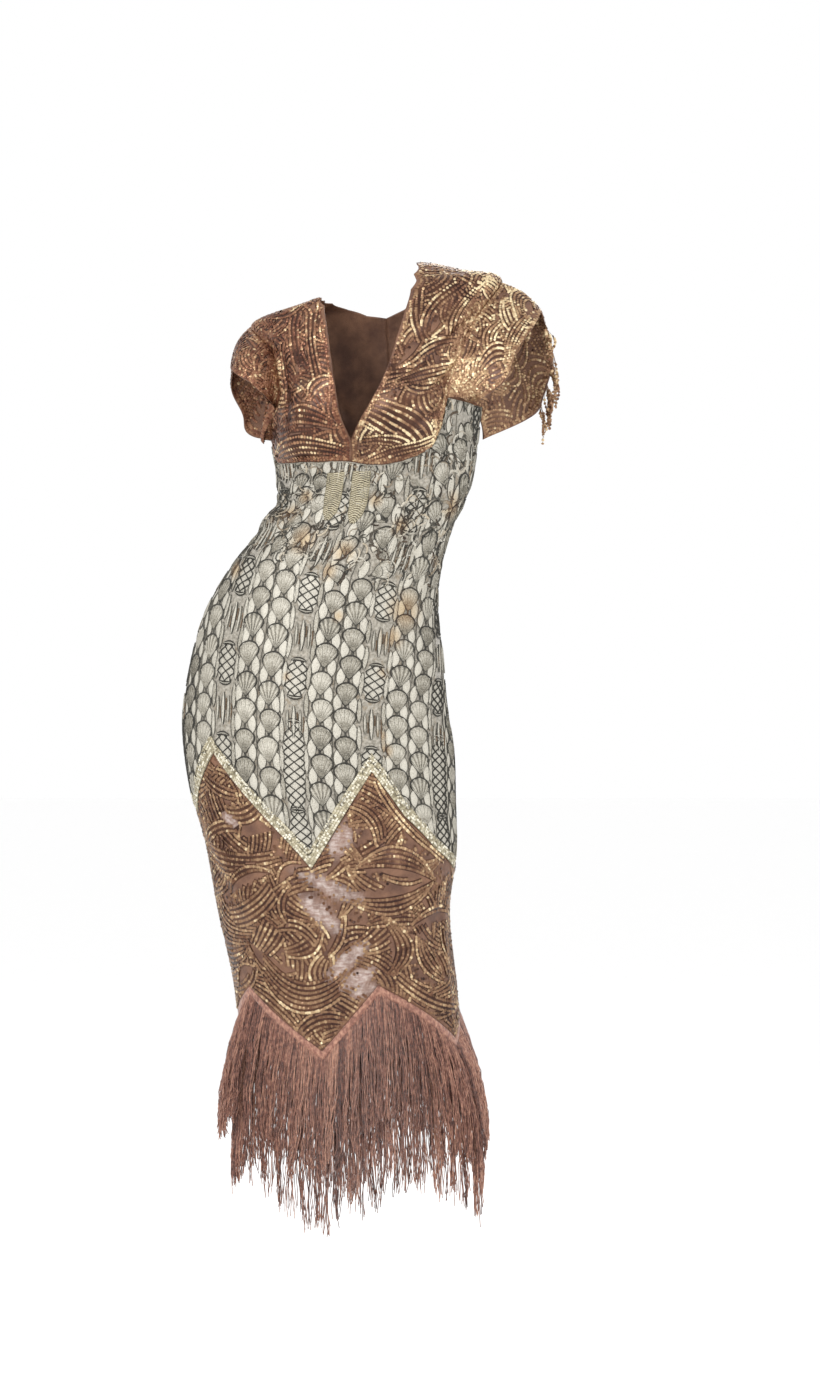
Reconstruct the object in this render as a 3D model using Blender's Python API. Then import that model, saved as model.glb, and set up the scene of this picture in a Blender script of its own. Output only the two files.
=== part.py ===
"""Ankle-length flapper dress, hollow and worn, hanging from the shoulders that hold it.

Metres, +Z up, the front faces -Y. The origin lies in the middle of the neck opening at shoulder height.
Right and left are the wearer's: the wearer's left is +X.

The cloth follows one form, a stack of tilted and turned sections. A place on the form has a turn, in degrees
round from the centre front towards the wearer's left, and a run, the distance down the side from the neck.
Every panel is a wall cut out of that form between seam lines, and its seams are 0.3 mm wide.
"""

import math
import random
from collections import namedtuple

import bmesh
import bpy
from mathutils import Vector
from mathutils.bvhtree import BVHTree

# Driving sizes
CLOTH_WALL = 0.0018
BRAID_WALL = 0.0016
STRIP_WALL = 0.0012
SEAM_GAP = 0.0003
BRAID_WIDTH = 0.014
BRAID_CLEARANCE = 0.0006
STRIP_HEIGHT = 0.012
STRAND_SPACING = 0.0098
UPPER_FRINGE_LENGTH = 0.165
LOWER_FRINGE_LENGTH = 0.233

# Grid cells of each panel
BODY_ROWS = 16
SKIRT_ROWS = 7
BODICE_ROWS = 12
SLEEVE_ROWS = 6
SLEEVE_COLUMNS = 20

# Steps along the neck, armhole and shoulder lines before they are spaced out evenly
NECK_STEPS = 60
ARMHOLE_STEPS = 48
SHOULDER_STEPS = 12

# The form, from the neck down to the lower hem. height is that of the section's middle, across and behind
# place its centre, rise is how much it climbs towards the wearer's left, and turn is its twist in degrees.
Section = namedtuple("Section", "name height across half_width rise front back behind turn")
SECTIONS = [
    Section("neck", 0.005, -0.003, 0.0655, 0.368, 0.060, 0.055, 0.005, -5),
    Section("mid shoulder", -0.009, 0.003, 0.121, 0.223, 0.066, 0.062, 0.005, -7),
    Section("shoulder tip", -0.025, 0.007, 0.1725, 0.168, 0.076, 0.075, 0.005, -9),
    Section("upper chest", -0.075, 0.007, 0.159, 0.100, 0.101, 0.094, 0.000, -9.5),
    Section("chest", -0.144, 0.007, 0.146, 0.060, 0.122, 0.100, -0.002, -11),
    Section("bust", -0.195, 0.006, 0.144, 0.050, 0.127, 0.100, -0.004, -15),
    Section("under bust", -0.246, 0.007, 0.139, 0.060, 0.107, 0.093, 0.000, -19),
    Section("ribs", -0.280, 0.003, 0.135, -0.010, 0.097, 0.088, 0.001, -20),
    Section("waist", -0.318, -0.0105, 0.125, -0.100, 0.089, 0.084, 0.002, -17),
    Section("low waist", -0.366, -0.031, 0.127, -0.180, 0.092, 0.092, 0.003, -14),
    Section("high hip", -0.421, -0.052, 0.143, -0.200, 0.099, 0.110, 0.004, -11),
    Section("hip top", -0.483, -0.066, 0.164, -0.170, 0.106, 0.124, 0.004, -10),
    Section("hip", -0.551, -0.0735, 0.176, -0.130, 0.112, 0.130, 0.003, -9),
    Section("upper thigh", -0.620, -0.073, 0.185, -0.100, 0.118, 0.128, 0.000, -7),
    Section("thigh", -0.696, -0.067, 0.181, -0.060, 0.120, 0.121, -0.004, -5),
    Section("low thigh", -0.778, -0.055, 0.170, -0.030, 0.116, 0.113, -0.006, -4),
    Section("knee", -0.860, -0.051, 0.158, -0.010, 0.109, 0.105, -0.006, -3),
    Section("calf", -0.963, -0.035, 0.152, 0.000, 0.105, 0.101, 0.000, -3),
    Section("below the hem", -1.085, -0.024, 0.153, 0.000, 0.107, 0.103, 0.003, -3),
]

# The seam under the bodice from the centre to the underarm, the armhole from there up to the shoulder tip,
# and the open underarm edge between the armhole and the side seam. Both backs are cut as the left front is.
# The raised right arm has pulled the right front further round.
SeamPoint = namedtuple("SeamPoint", "turn height")
BUST_SEAM = [
    SeamPoint(0, -0.251),
    SeamPoint(10, -0.2545),
    SeamPoint(20, -0.2555),
    SeamPoint(30, -0.252),
    SeamPoint(39, -0.2455),
    SeamPoint(46.5, -0.234),
    SeamPoint(51, -0.213),
    SeamPoint(52.5, -0.190),
    SeamPoint(53, -0.170),
]
ARMHOLE_SEAM = [
    BUST_SEAM[-1],
    SeamPoint(54, -0.130),
    SeamPoint(59, -0.085),
    SeamPoint(71, -0.048),
    SeamPoint(90, -0.025),
]
RIGHT_BUST_SEAM = [
    SeamPoint(0, -0.251),
    SeamPoint(10, -0.2465),
    SeamPoint(20, -0.2445),
    SeamPoint(31, -0.241),
    SeamPoint(42, -0.2405),
    SeamPoint(53, -0.240),
    SeamPoint(64, -0.237),
    SeamPoint(72, -0.226),
    SeamPoint(75, -0.208),
]
RIGHT_ARMHOLE_SEAM = [
    RIGHT_BUST_SEAM[-1],
    SeamPoint(67, -0.188),
    SeamPoint(60, -0.165),
    SeamPoint(57, -0.130),
    SeamPoint(61, -0.085),
    SeamPoint(72, -0.048),
    SeamPoint(90, -0.025),
]
Quarter = namedtuple("Quarter", "bust_seam armhole_seam side_seam_top")
LEFT_FRONT = Quarter(BUST_SEAM, ARMHOLE_SEAM, SeamPoint(90, -0.180))
RIGHT_FRONT = Quarter(RIGHT_BUST_SEAM, RIGHT_ARMHOLE_SEAM, SeamPoint(90, -0.200))
LEFT_BACK = LEFT_FRONT
RIGHT_BACK = Quarter(BUST_SEAM, ARMHOLE_SEAM, SeamPoint(90, -0.200))
BUST_SEAM_COLUMNS = 8
UNDERARM_COLUMNS = 4

# Half the width of the neck opening at each height. Both edges start at the shoulder seam's neck end.
NeckPoint = namedtuple("NeckPoint", "height half_opening")
FRONT_NECK = [
    NeckPoint(0.005, 0.0655),
    NeckPoint(-0.009, 0.0625),
    NeckPoint(-0.020, 0.060),
    NeckPoint(-0.048, 0.055),
    NeckPoint(-0.078, 0.048),
    NeckPoint(-0.115, 0.040),
    NeckPoint(-0.147, 0.031),
    NeckPoint(-0.178, 0.020),
    NeckPoint(-0.204, 0.009),
    NeckPoint(-0.214, 0.0),
]
BACK_NECK = [
    NeckPoint(0.005, 0.0655),
    NeckPoint(-0.009, 0.061),
    NeckPoint(-0.020, 0.050),
    NeckPoint(-0.031, 0.031),
    NeckPoint(-0.037, 0.014),
    NeckPoint(-0.039, 0.0),
]

# The two zigzag hems, corner by corner from the right side seam round the front. height is the real height,
# and cells is how many grid cells lie between a corner and the next one.
Corner = namedtuple("Corner", "turn height cells")
FAN_HEM = [
    Corner(-90, -0.705, 2),
    Corner(-75, -0.722, 3),
    Corner(-46, -0.642, 7),
    Corner(-6, -0.797, 4),
    Corner(27, -0.667, 2),
    Corner(41, -0.727, 2),
    Corner(60, -0.773, 2),
    Corner(84, -0.800, 2),
    Corner(90, -0.784, 3),
    Corner(116, -0.668, 8),
    Corner(184, -0.794, 5),
    Corner(217, -0.638, 8),
]
SKIRT_HEM = [
    Corner(-90, -0.992, 2),
    Corner(-83, -0.997, 3),
    Corner(-56, -0.959, 7),
    Corner(-12, -1.043, 4),
    Corner(20, -0.954, 6),
    Corner(73, -1.031, 2),
    Corner(90, -1.001, 3),
    Corner(112, -0.957, 8),
    Corner(178, -1.045, 5),
    Corner(216, -0.957, 8),
]

# Soft ridges (depth above 0) and troughs in the cloth, each a line between two places on the form.
Fold = namedtuple("Fold", "turn height to_turn to_height width depth")
FOLDS = [
    # Bust darts: the two cups, and the hollow between them
    Fold(30, -0.180, 36, -0.205, 0.042, 0.011),
    Fold(-30, -0.180, -36, -0.205, 0.042, 0.011),
    Fold(0, -0.170, 0, -0.240, 0.022, -0.009),
    # Drag lines of the bodice from the shoulders to the cups
    Fold(52, -0.060, 24, -0.150, 0.013, 0.004),
    Fold(44, -0.050, 18, -0.110, 0.012, -0.003),
    Fold(-52, -0.065, -26, -0.140, 0.013, 0.004),
    Fold(8, -0.205, 46, -0.228, 0.011, 0.003),
    Fold(-10, -0.222, -48, -0.214, 0.011, 0.003),
    # Creases at the bent waist
    Fold(-88, -0.305, -38, -0.322, 0.012, -0.004),
    Fold(-84, -0.345, -46, -0.338, 0.012, 0.003),
    Fold(96, -0.330, 40, -0.352, 0.013, -0.003),
    Fold(120, -0.300, 172, -0.318, 0.014, 0.004),
    Fold(238, -0.322, 190, -0.330, 0.014, -0.004),
    # Pulls across the hips
    Fold(-66, -0.470, -24, -0.520, 0.022, 0.003),
    Fold(70, -0.500, 30, -0.545, 0.022, 0.003),
    # Pulls of the skirt round the knees
    Fold(-62, -0.760, -30, -0.900, 0.022, 0.006),
    Fold(6, -0.812, 52, -0.780, 0.016, 0.005),
    Fold(8, -0.850, -4, -1.000, 0.024, -0.008),
    Fold(64, -0.820, 30, -0.935, 0.020, 0.006),
    Fold(40, -0.960, 74, -0.985, 0.018, 0.004),
    Fold(108, -0.800, 150, -0.930, 0.024, 0.006),
    Fold(180, -0.830, 184, -1.000, 0.028, -0.008),
    Fold(252, -0.790, 214, -0.930, 0.024, 0.006),
]
METRES_PER_TURN_DEGREE = 0.0026

# The flutter sleeves' hems from the front underarm over the shoulder to the back, measured from the
# shoulder tip. share is how far along the armhole seam the hem point lies.
HemPoint = namedtuple("HemPoint", "share out ahead up")
LEFT_SLEEVE_HEM = [
    HemPoint(0.00, -0.048, 0.060, -0.172),
    HemPoint(0.12, -0.027, 0.080, -0.170),
    HemPoint(0.24, 0.001, 0.090, -0.147),
    HemPoint(0.35, 0.022, 0.080, -0.106),
    HemPoint(0.44, 0.041, 0.052, -0.070),
    HemPoint(0.52, 0.058, 0.012, -0.046),
    HemPoint(0.60, 0.069, -0.024, -0.080),
    HemPoint(0.68, 0.069, -0.050, -0.124),
    HemPoint(0.78, 0.061, -0.078, -0.162),
    HemPoint(0.89, 0.034, -0.100, -0.186),
    HemPoint(1.00, -0.023, -0.092, -0.212),
]
RIGHT_SLEEVE_HEM = [
    HemPoint(0.00, -0.017, 0.036, -0.166),
    HemPoint(0.14, -0.030, 0.074, -0.122),
    HemPoint(0.21, -0.020, 0.086, -0.104),
    HemPoint(0.30, -0.004, 0.090, -0.090),
    HemPoint(0.40, 0.014, 0.078, -0.078),
    HemPoint(0.48, 0.026, 0.048, -0.066),
    HemPoint(0.54, 0.032, 0.012, -0.062),
    HemPoint(0.61, 0.031, -0.028, -0.078),
    HemPoint(0.70, 0.024, -0.058, -0.105),
    HemPoint(0.80, 0.016, -0.073, -0.130),
    HemPoint(0.90, 0.002, -0.083, -0.148),
    HemPoint(1.00, -0.038, -0.080, -0.150),
]
SLEEVE_LIFT = 0.016
SLEEVE_WAVES = 5
SLEEVE_WAVE_DEPTH = 0.0035

# The two braid tabs under the point of the neck opening: half distances from the centre front.
TabRow = namedtuple("TabRow", "height inner outer")
TAB_ROWS = [
    TabRow(-0.334, 0.0145, 0.0205),
    TabRow(-0.322, 0.0080, 0.0275),
    TabRow(-0.304, 0.0062, 0.0305),
    TabRow(-0.284, 0.0058, 0.0310),
    TabRow(-0.2625, 0.0055, 0.0310),
]

Finish = namedtuple("Finish", "colour roughness metallic")
FINISHES = {
    "copper_sequin": Finish((0.45, 0.22, 0.10), 0.35, 0.6),
    "ivory_fan": Finish((0.52, 0.48, 0.41), 0.4, 0.4),
    "pale_braid": Finish((0.66, 0.57, 0.36), 0.5, 0.4),
    "copper_fringe": Finish((0.30, 0.13, 0.09), 0.55, 0.1),
}


def clear_scene():
    for thing in list(bpy.data.objects):
        bpy.data.objects.remove(thing)


# The form


def run_stations():
    """How far down the side each section lies from the neck."""
    runs = [0.0]
    for upper, lower in zip(SECTIONS, SECTIONS[1:]):
        step = math.hypot(lower.height - upper.height, lower.half_width - upper.half_width)
        runs.append(runs[-1] + step)
    return runs


RUNS = run_stations()


def smooth_between(stations, values, at):
    """A smooth curve through the values, read at one place."""
    last = len(stations) - 1
    at = min(max(at, stations[0]), stations[-1])
    k = 0
    while k < last - 1 and stations[k + 1] < at:
        k += 1

    def slope(i):
        before, after = max(i - 1, 0), min(i + 1, last)
        return (values[after] - values[before]) / (stations[after] - stations[before])

    width = stations[k + 1] - stations[k]
    t = (at - stations[k]) / width
    rest = 1 - t
    return (
        values[k] * (1 + 2 * t) * rest * rest
        + values[k + 1] * t * t * (3 - 2 * t)
        + slope(k) * width * t * rest * rest
        - slope(k + 1) * width * t * t * rest
    )


COLUMNS = {field: [getattr(row, field) for row in SECTIONS] for field in Section._fields[1:]}


def size_at(field, run):
    return smooth_between(RUNS, COLUMNS[field], run)


def form_point(turn, run):
    """The place on the smooth form, before any fold."""
    angle = math.radians(turn)
    twist = math.radians(size_at("turn", run))
    side = size_at("half_width", run) * math.sin(angle)
    depth = size_at("front" if math.cos(angle) > 0 else "back", run) * math.cos(angle)
    x = side * math.cos(twist) + depth * math.sin(twist)
    y = side * math.sin(twist) - depth * math.cos(twist)
    z = size_at("height", run) + size_at("rise", run) * x
    return Vector((size_at("across", run) + x, size_at("behind", run) + y, z))


def form_normal(turn, run):
    """The direction straight out of the form."""
    round_step, down_step = 0.5, 0.001
    along = form_point(turn + round_step, run) - form_point(turn - round_step, run)
    up = form_point(turn, run - down_step) - form_point(turn, run + down_step)
    return along.cross(up).normalized()


def find_run(too_low, low, high):
    """Halves the range of runs until it holds the one place where too_low changes."""
    for _ in range(40):
        middle = (low + high) / 2
        if too_low(middle):
            high = middle
        else:
            low = middle
    return (low + high) / 2


def run_of_section_height(height):
    """The run at which a section's middle has this height."""
    return find_run(lambda run: size_at("height", run) < height, RUNS[0], RUNS[-1])


def run_of_real_height(turn, height):
    """The run at which the form itself has this height, at one turn."""
    return find_run(lambda run: form_point(turn, run).z < height, RUNS[0], RUNS[-1])


def fold_depth(turn, run):
    """How far the folds push the cloth out of the form."""
    height = size_at("height", run)
    total = 0.0
    for fold in FOLDS:
        nearest = (turn - fold.turn + 180) % 360 - 180
        x = nearest * METRES_PER_TURN_DEGREE
        y = height - fold.height
        to_x = (fold.to_turn - fold.turn) * METRES_PER_TURN_DEGREE
        to_y = fold.to_height - fold.height
        share = (x * to_x + y * to_y) / (to_x**2 + to_y**2)
        share = min(max(share, 0.0), 1.0)
        away = math.hypot(x - share * to_x, y - share * to_y) / fold.width
        total += fold.depth * math.exp(-away * away)
    return total


def cloth_point(turn, run):
    return form_point(turn, run) + form_normal(turn, run) * fold_depth(turn, run)


# Walls from grids of points


def grid_normals(grid):
    """The direction out of a grid whose columns go round and whose rows go up."""
    rows, columns = len(grid), len(grid[0])
    normals = []
    for i in range(rows):
        line = []
        for j in range(columns):
            along = grid[i][min(j + 1, columns - 1)] - grid[i][max(j - 1, 0)]
            up = grid[min(i + 1, rows - 1)][j] - grid[max(i - 1, 0)][j]
            line.append(along.cross(up).normalized())
        normals.append(line)
    return normals


def draw_in_edges(grid, normals, distance):
    """Moves the outline of a panel inwards, square to its edges, to leave half a seam gap."""
    rows, columns = len(grid), len(grid[0])
    loop = [(0, j) for j in range(columns)]
    loop += [(i, columns - 1) for i in range(1, rows)]
    loop += [(rows - 1, j) for j in range(columns - 2, -1, -1)]
    loop += [(i, 0) for i in range(rows - 2, 0, -1)]
    moved = {}
    for k, (i, j) in enumerate(loop):
        here = grid[i][j]
        before = grid[loop[k - 1][0]][loop[k - 1][1]]
        after = grid[loop[(k + 1) % len(loop)][0]][loop[(k + 1) % len(loop)][1]]
        inward_before = normals[i][j].cross(here - before).normalized()
        inward_after = normals[i][j].cross(after - here).normalized()
        sharpness = max(1 + inward_before.dot(inward_after), 0.3)
        moved[i, j] = here + (inward_before + inward_after) * (distance / sharpness)
    for (i, j), place in moved.items():
        grid[i][j] = place


def new_object(name, mesh_data, finish):
    mesh = bpy.data.meshes.new(name)
    mesh_data.to_mesh(mesh)
    mesh_data.free()
    mesh.shade_smooth()
    mesh.set_sharp_from_angle(angle=math.radians(40))
    mesh.materials.append(finish)
    thing = bpy.data.objects.new(name, mesh)
    bpy.context.scene.collection.objects.link(thing)
    return thing


def fill_cell(mesh_data, outer, inner, a, b, c, d):
    """The two triangles of one cell on each side of a wall, split along the cell's shorter diagonal."""
    places = [outer[k[0]][k[1]].co for k in (a, b, c, d)]
    if (places[0] - places[2]).length > (places[1] - places[3]).length:
        a, b, c, d = b, c, d, a
    for corners in ((a, b, c), (a, c, d)):
        mesh_data.faces.new([outer[i][j] for i, j in corners])
        mesh_data.faces.new([inner[i][j] for i, j in reversed(corners)])


def panel(name, grid, finish, normals=None, wall=CLOTH_WALL, gap=SEAM_GAP):
    """A closed wall whose outer side is the grid. Rows go up, columns go round seen from outside."""
    normals = normals or grid_normals(grid)
    draw_in_edges(grid, normals, gap / 2)
    rows, columns = len(grid), len(grid[0])
    mesh_data = bmesh.new()
    outer = [[mesh_data.verts.new(point) for point in row] for row in grid]
    inner = [
        [mesh_data.verts.new(grid[i][j] - normals[i][j] * wall) for j in range(columns)]
        for i in range(rows)
    ]
    for i in range(rows - 1):
        for j in range(columns - 1):
            fill_cell(mesh_data, outer, inner, (i, j), (i, j + 1), (i + 1, j + 1), (i + 1, j))
    for j in range(columns - 1):
        mesh_data.faces.new((outer[0][j], inner[0][j], inner[0][j + 1], outer[0][j + 1]))
        mesh_data.faces.new((outer[-1][j], outer[-1][j + 1], inner[-1][j + 1], inner[-1][j]))
    for i in range(rows - 1):
        mesh_data.faces.new((outer[i][0], outer[i + 1][0], inner[i + 1][0], inner[i][0]))
        mesh_data.faces.new((outer[i][-1], inner[i][-1], inner[i + 1][-1], outer[i + 1][-1]))
    return new_object(name, mesh_data, finish)


# Seam lines, as lists of (turn, run)


def cells_between(corners):
    """The hem's (turn, height) at every grid column, with the first one again at the end."""
    line = []
    for k, corner in enumerate(corners):
        after = corners[(k + 1) % len(corners)]
        end_turn = after.turn if k + 1 < len(corners) else after.turn + 360
        for step in range(corner.cells):
            share = step / corner.cells
            line.append(
                (
                    corner.turn + (end_turn - corner.turn) * share,
                    corner.height + (after.height - corner.height) * share,
                )
            )
    line.append((corners[0].turn + 360, corners[0].height))
    return line


def hem_line(corners):
    return [(turn, run_of_real_height(turn, height)) for turn, height in cells_between(corners)]


def seam_line(points, cells):
    """A smooth seam line through a table's points, from its first to its last, as (turn, run)."""
    stations = list(range(len(points)))
    line = []
    for at in even_steps(0, stations[-1], cells):
        turn = smooth_between(stations, [p.turn for p in points], at)
        height = smooth_between(stations, [p.height for p in points], at)
        line.append((turn, run_of_section_height(height)))
    return line


def quarter_top(quarter):
    """The body panels' top edge over one quarter, from the centre to the side seam."""
    under = [quarter.bust_seam[-1], quarter.side_seam_top]
    return seam_line(quarter.bust_seam, BUST_SEAM_COLUMNS) + seam_line(under, UNDERARM_COLUMNS)[1:]


def body_top_line():
    """The body panels' top edge round the whole dress, at every grid column from the right side seam."""
    line = [(-turn, run) for turn, run in reversed(quarter_top(RIGHT_FRONT))]
    line += quarter_top(LEFT_FRONT)[1:]
    line += [(180 - turn, run) for turn, run in reversed(quarter_top(LEFT_BACK)[:-1])]
    line += [(180 + turn, run) for turn, run in quarter_top(RIGHT_BACK)[1:]]
    return line


def even_steps(start, end, cells):
    return [start + (end - start) * k / cells for k in range(cells + 1)]


def by_length(line, cells):
    """The same seam line with its points evenly spaced along the cloth."""
    places = [form_point(turn, run) for turn, run in line]
    lengths = [0.0]
    for a, b in zip(places, places[1:]):
        lengths.append(lengths[-1] + (b - a).length)
    spaced = []
    k = 0
    for at in even_steps(0.0, lengths[-1], cells):
        while k < len(line) - 2 and lengths[k + 1] < at:
            k += 1
        share = (at - lengths[k]) / (lengths[k + 1] - lengths[k])
        share = min(share, 1.0)
        spaced.append(
            (
                line[k][0] + (line[k + 1][0] - line[k][0]) * share,
                line[k][1] + (line[k + 1][1] - line[k][1]) * share,
            )
        )
    return spaced


def neck_line(points):
    """From the centre line up the edge of the neck opening to the shoulder seam's neck end."""
    heights = [p.height for p in reversed(points)]
    openings = [p.half_opening for p in reversed(points)]
    line = []
    for height in even_steps(heights[0], heights[-1], NECK_STEPS):
        opening = smooth_between(heights, openings, height)
        run = run_of_section_height(height)
        sine = opening / size_at("half_width", run)
        line.append((math.degrees(math.asin(min(max(sine, 0.0), 1.0))), run))
    line[-1] = (90.0, RUNS[0])
    return line


def armhole_line(quarter):
    """One quarter of the armhole, from the underarm to the shoulder tip."""
    return seam_line(quarter.armhole_seam, ARMHOLE_STEPS)


# Panels of the dress


def columns_between(upper, lower, rows, first_row=None):
    """Grid of cloth points between an upper and a lower seam line of as many points.

    first_row, if given, is the height of the lowest row of cells at each column.
    """
    grid, normals = [], []
    for i in range(rows + 1):
        places = []
        for j, (top, low) in enumerate(zip(upper, lower)):
            start = first_row[j] / (low[1] - top[1]) if first_row and i else 0.0
            cells_up = max(i - 1, 0) if first_row else i
            share = start + (1 - start) * cells_up / (rows - 1 if first_row else rows)
            places.append((low[0] + (top[0] - low[0]) * share, low[1] + (top[1] - low[1]) * share))
        grid.append([cloth_point(turn, run) for turn, run in places])
        normals.append([form_normal(turn, run) for turn, run in places])
    return grid, normals


def half_of(line, back):
    """The front half of a line round the dress, or its back half."""
    middle = (len(line) - 1) // 2
    return line[middle:] if back else line[: middle + 1]


def braid_heights(corners):
    """The braid's height at every grid column, taller where the hem runs steeply."""
    line = cells_between(corners)
    count = len(line) - 1
    heights = []
    for k, (turn, height) in enumerate(line):
        steepness = 0.0
        for other in (line[(k - 1) % count], line[(k + 1) % count]):
            round_way = ((other[0] - turn + 180) % 360 - 180) * METRES_PER_TURN_DEGREE
            steepness += abs(other[1] - height) / abs(round_way) / 2
        heights.append(BRAID_WIDTH * math.hypot(1, steepness))
    return heights


def make_body_and_skirt(finishes):
    """The fan-patterned body with its hem braid, and the sequinned skirt, seamed at both sides."""
    top, fan_hem, skirt_hem = body_top_line(), hem_line(FAN_HEM), hem_line(SKIRT_HEM)
    braid_height = braid_heights(FAN_HEM)
    braid_cloth = []
    for face, back in (("front", False), ("back", True)):
        upper, middle, lower = (half_of(line, back) for line in (top, fan_hem, skirt_hem))
        grid, normals = columns_between(upper, middle, BODY_ROWS, half_of(braid_height, back))
        for j in range(len(middle) - 1):
            braid_cloth.append([(grid[i][j].copy(), normals[i][j]) for i in (0, 1)])
        panel(f"body_{face}", grid, finishes["ivory_fan"], normals)
        grid, normals = columns_between(middle, lower, SKIRT_ROWS)
        panel(f"skirt_{face}", grid, finishes["copper_sequin"], normals)
    make_hem_braid(braid_cloth, finishes["pale_braid"])


def make_bodice_quarter(name, side, back, finish):
    """One quarter of the bodice: a patch between the bust seam, neck edge, shoulder seam and armhole."""
    quarter = RIGHT_FRONT if side < 0 and not back else LEFT_FRONT
    bust = seam_line(quarter.bust_seam, BUST_SEAM_COLUMNS)
    inner = [bust[0]] + neck_line(BACK_NECK if back else FRONT_NECK)
    inner = by_length(inner, BODICE_ROWS)
    outer = by_length(armhole_line(quarter), BODICE_ROWS)
    shoulder = [(90.0, run) for run in even_steps(RUNS[0], RUNS[2], SHOULDER_STEPS)]
    shoulder = by_length(shoulder, BUST_SEAM_COLUMNS)
    grid, normals = [], []
    for i in range(BODICE_ROWS + 1):
        v = i / BODICE_ROWS
        row, out = [], []
        for j in range(BUST_SEAM_COLUMNS + 1):
            u = j / BUST_SEAM_COLUMNS
            turn, run = (
                (1 - v) * bust[j][k] + v * shoulder[j][k] + (1 - u) * inner[i][k] + u * outer[i][k]
                - (1 - u) * (1 - v) * bust[0][k] - u * (1 - v) * bust[-1][k]
                - (1 - u) * v * shoulder[0][k] - u * v * shoulder[-1][k]
                for k in (0, 1)
            )
            turn = side * (180 - turn if back else turn)
            row.append(cloth_point(turn, run))
            out.append(form_normal(turn, run))
        grid.append(row)
        normals.append(out)
    if (side < 0) != back:
        grid = [row[::-1] for row in grid]
        normals = [row[::-1] for row in normals]
    return panel(name, grid, finish, normals)


def make_sleeve(name, side, hem_points, finish):
    """A flutter sleeve from the armhole seam, over the shoulder and down behind, to its waved hem."""
    seam = armhole_line(LEFT_FRONT if side > 0 else RIGHT_FRONT)
    seam += [(180 - turn, run) for turn, run in reversed(armhole_line(LEFT_BACK)[:-1])]
    seam = by_length(seam, SLEEVE_COLUMNS)
    tip = form_point(side * 90, RUNS[2])
    shares = [p.share for p in hem_points]
    grid, seam_normals = [[] for _ in range(SLEEVE_ROWS + 1)], []
    for j, (turn, run) in enumerate(seam):
        share = j / SLEEVE_COLUMNS
        root = cloth_point(side * turn, run)
        out = smooth_between(shares, [p.out for p in hem_points], share)
        ahead = smooth_between(shares, [p.ahead for p in hem_points], share)
        up = smooth_between(shares, [p.up for p in hem_points], share)
        hem = tip + Vector((side * out, -ahead, up))
        away = (root - tip).lerp(hem - tip, 0.5)
        outward = Vector((side, 0.0, 0.35)) + Vector((0.0, away.y, 0.0)) * 6
        outward.normalize()
        lift = root.lerp(hem, 0.4) + outward * SLEEVE_LIFT
        wave = math.sin(share * SLEEVE_WAVES * 2 * math.pi) * SLEEVE_WAVE_DEPTH
        for i in range(SLEEVE_ROWS + 1):
            t = 1 - i / SLEEVE_ROWS
            place = root * (1 - t) ** 2 + lift * 2 * t * (1 - t) + hem * t * t
            grid[i].append(place + outward * wave * t * t)
        seam_normals.append(form_normal(side * turn, run))
    if side < 0:
        grid = [row[::-1] for row in grid]
        seam_normals.reverse()
    normals = grid_normals(grid)
    for j, seam_normal in enumerate(seam_normals):
        flares_out = (grid[-2][j] - grid[-1][j]).dot(seam_normal) > 0
        normals[-1][j] = normals[-1][j] if flares_out else seam_normal
    return panel(name, grid, finish, normals)


def make_hem_braid(cloth, finish):
    """The pale braid along the body's zigzag hem, made from the body's own points moved out."""
    mesh_data = bmesh.new()
    count = len(cloth)
    outer, inner = (
        [
            [mesh_data.verts.new(column[row][0] + column[row][1] * distance) for column in cloth]
            for row in (0, 1)
        ]
        for distance in (BRAID_CLEARANCE + BRAID_WALL, BRAID_CLEARANCE)
    )
    for k in range(count):
        after = (k + 1) % count
        fill_cell(mesh_data, outer, inner, (0, k), (0, after), (1, after), (1, k))
        mesh_data.faces.new((outer[0][k], inner[0][k], inner[0][after], outer[0][after]))
        mesh_data.faces.new((outer[1][k], outer[1][after], inner[1][after], inner[1][k]))
    return new_object("braid_hem", mesh_data, finish)


def make_tab(name, side, body, finish):
    """A short pointed braid tab that lies on the body below the neck opening."""
    shell = bmesh.new()
    shell.from_mesh(body.data)
    cloth = BVHTree.FromBMesh(shell)
    shell.free()
    rows = [row for pair in zip(TAB_ROWS, TAB_ROWS[1:]) for row in (pair[0], halfway(*pair))]
    rows.append(TAB_ROWS[-1])
    grid = []
    for row in rows:
        run = run_of_section_height(row.height)
        edges = [row.inner, row.outer] if side > 0 else [-row.outer, -row.inner]
        line = []
        for share in (0.0, 0.33, 0.67, 1.0):
            distance = edges[0] + (edges[1] - edges[0]) * share
            turn = math.degrees(math.asin(distance / size_at("half_width", run)))
            normal = form_normal(turn, run)
            start = cloth_point(turn, run) + normal * 0.02
            touch = cloth.ray_cast(start, -normal)[0]
            line.append(touch + normal * (BRAID_CLEARANCE + BRAID_WALL))
        grid.append(line)
    return panel(name, grid, finish, wall=BRAID_WALL)


def halfway(a, b):
    return TabRow(*((p + q) / 2 for p, q in zip(a, b)))


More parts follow.
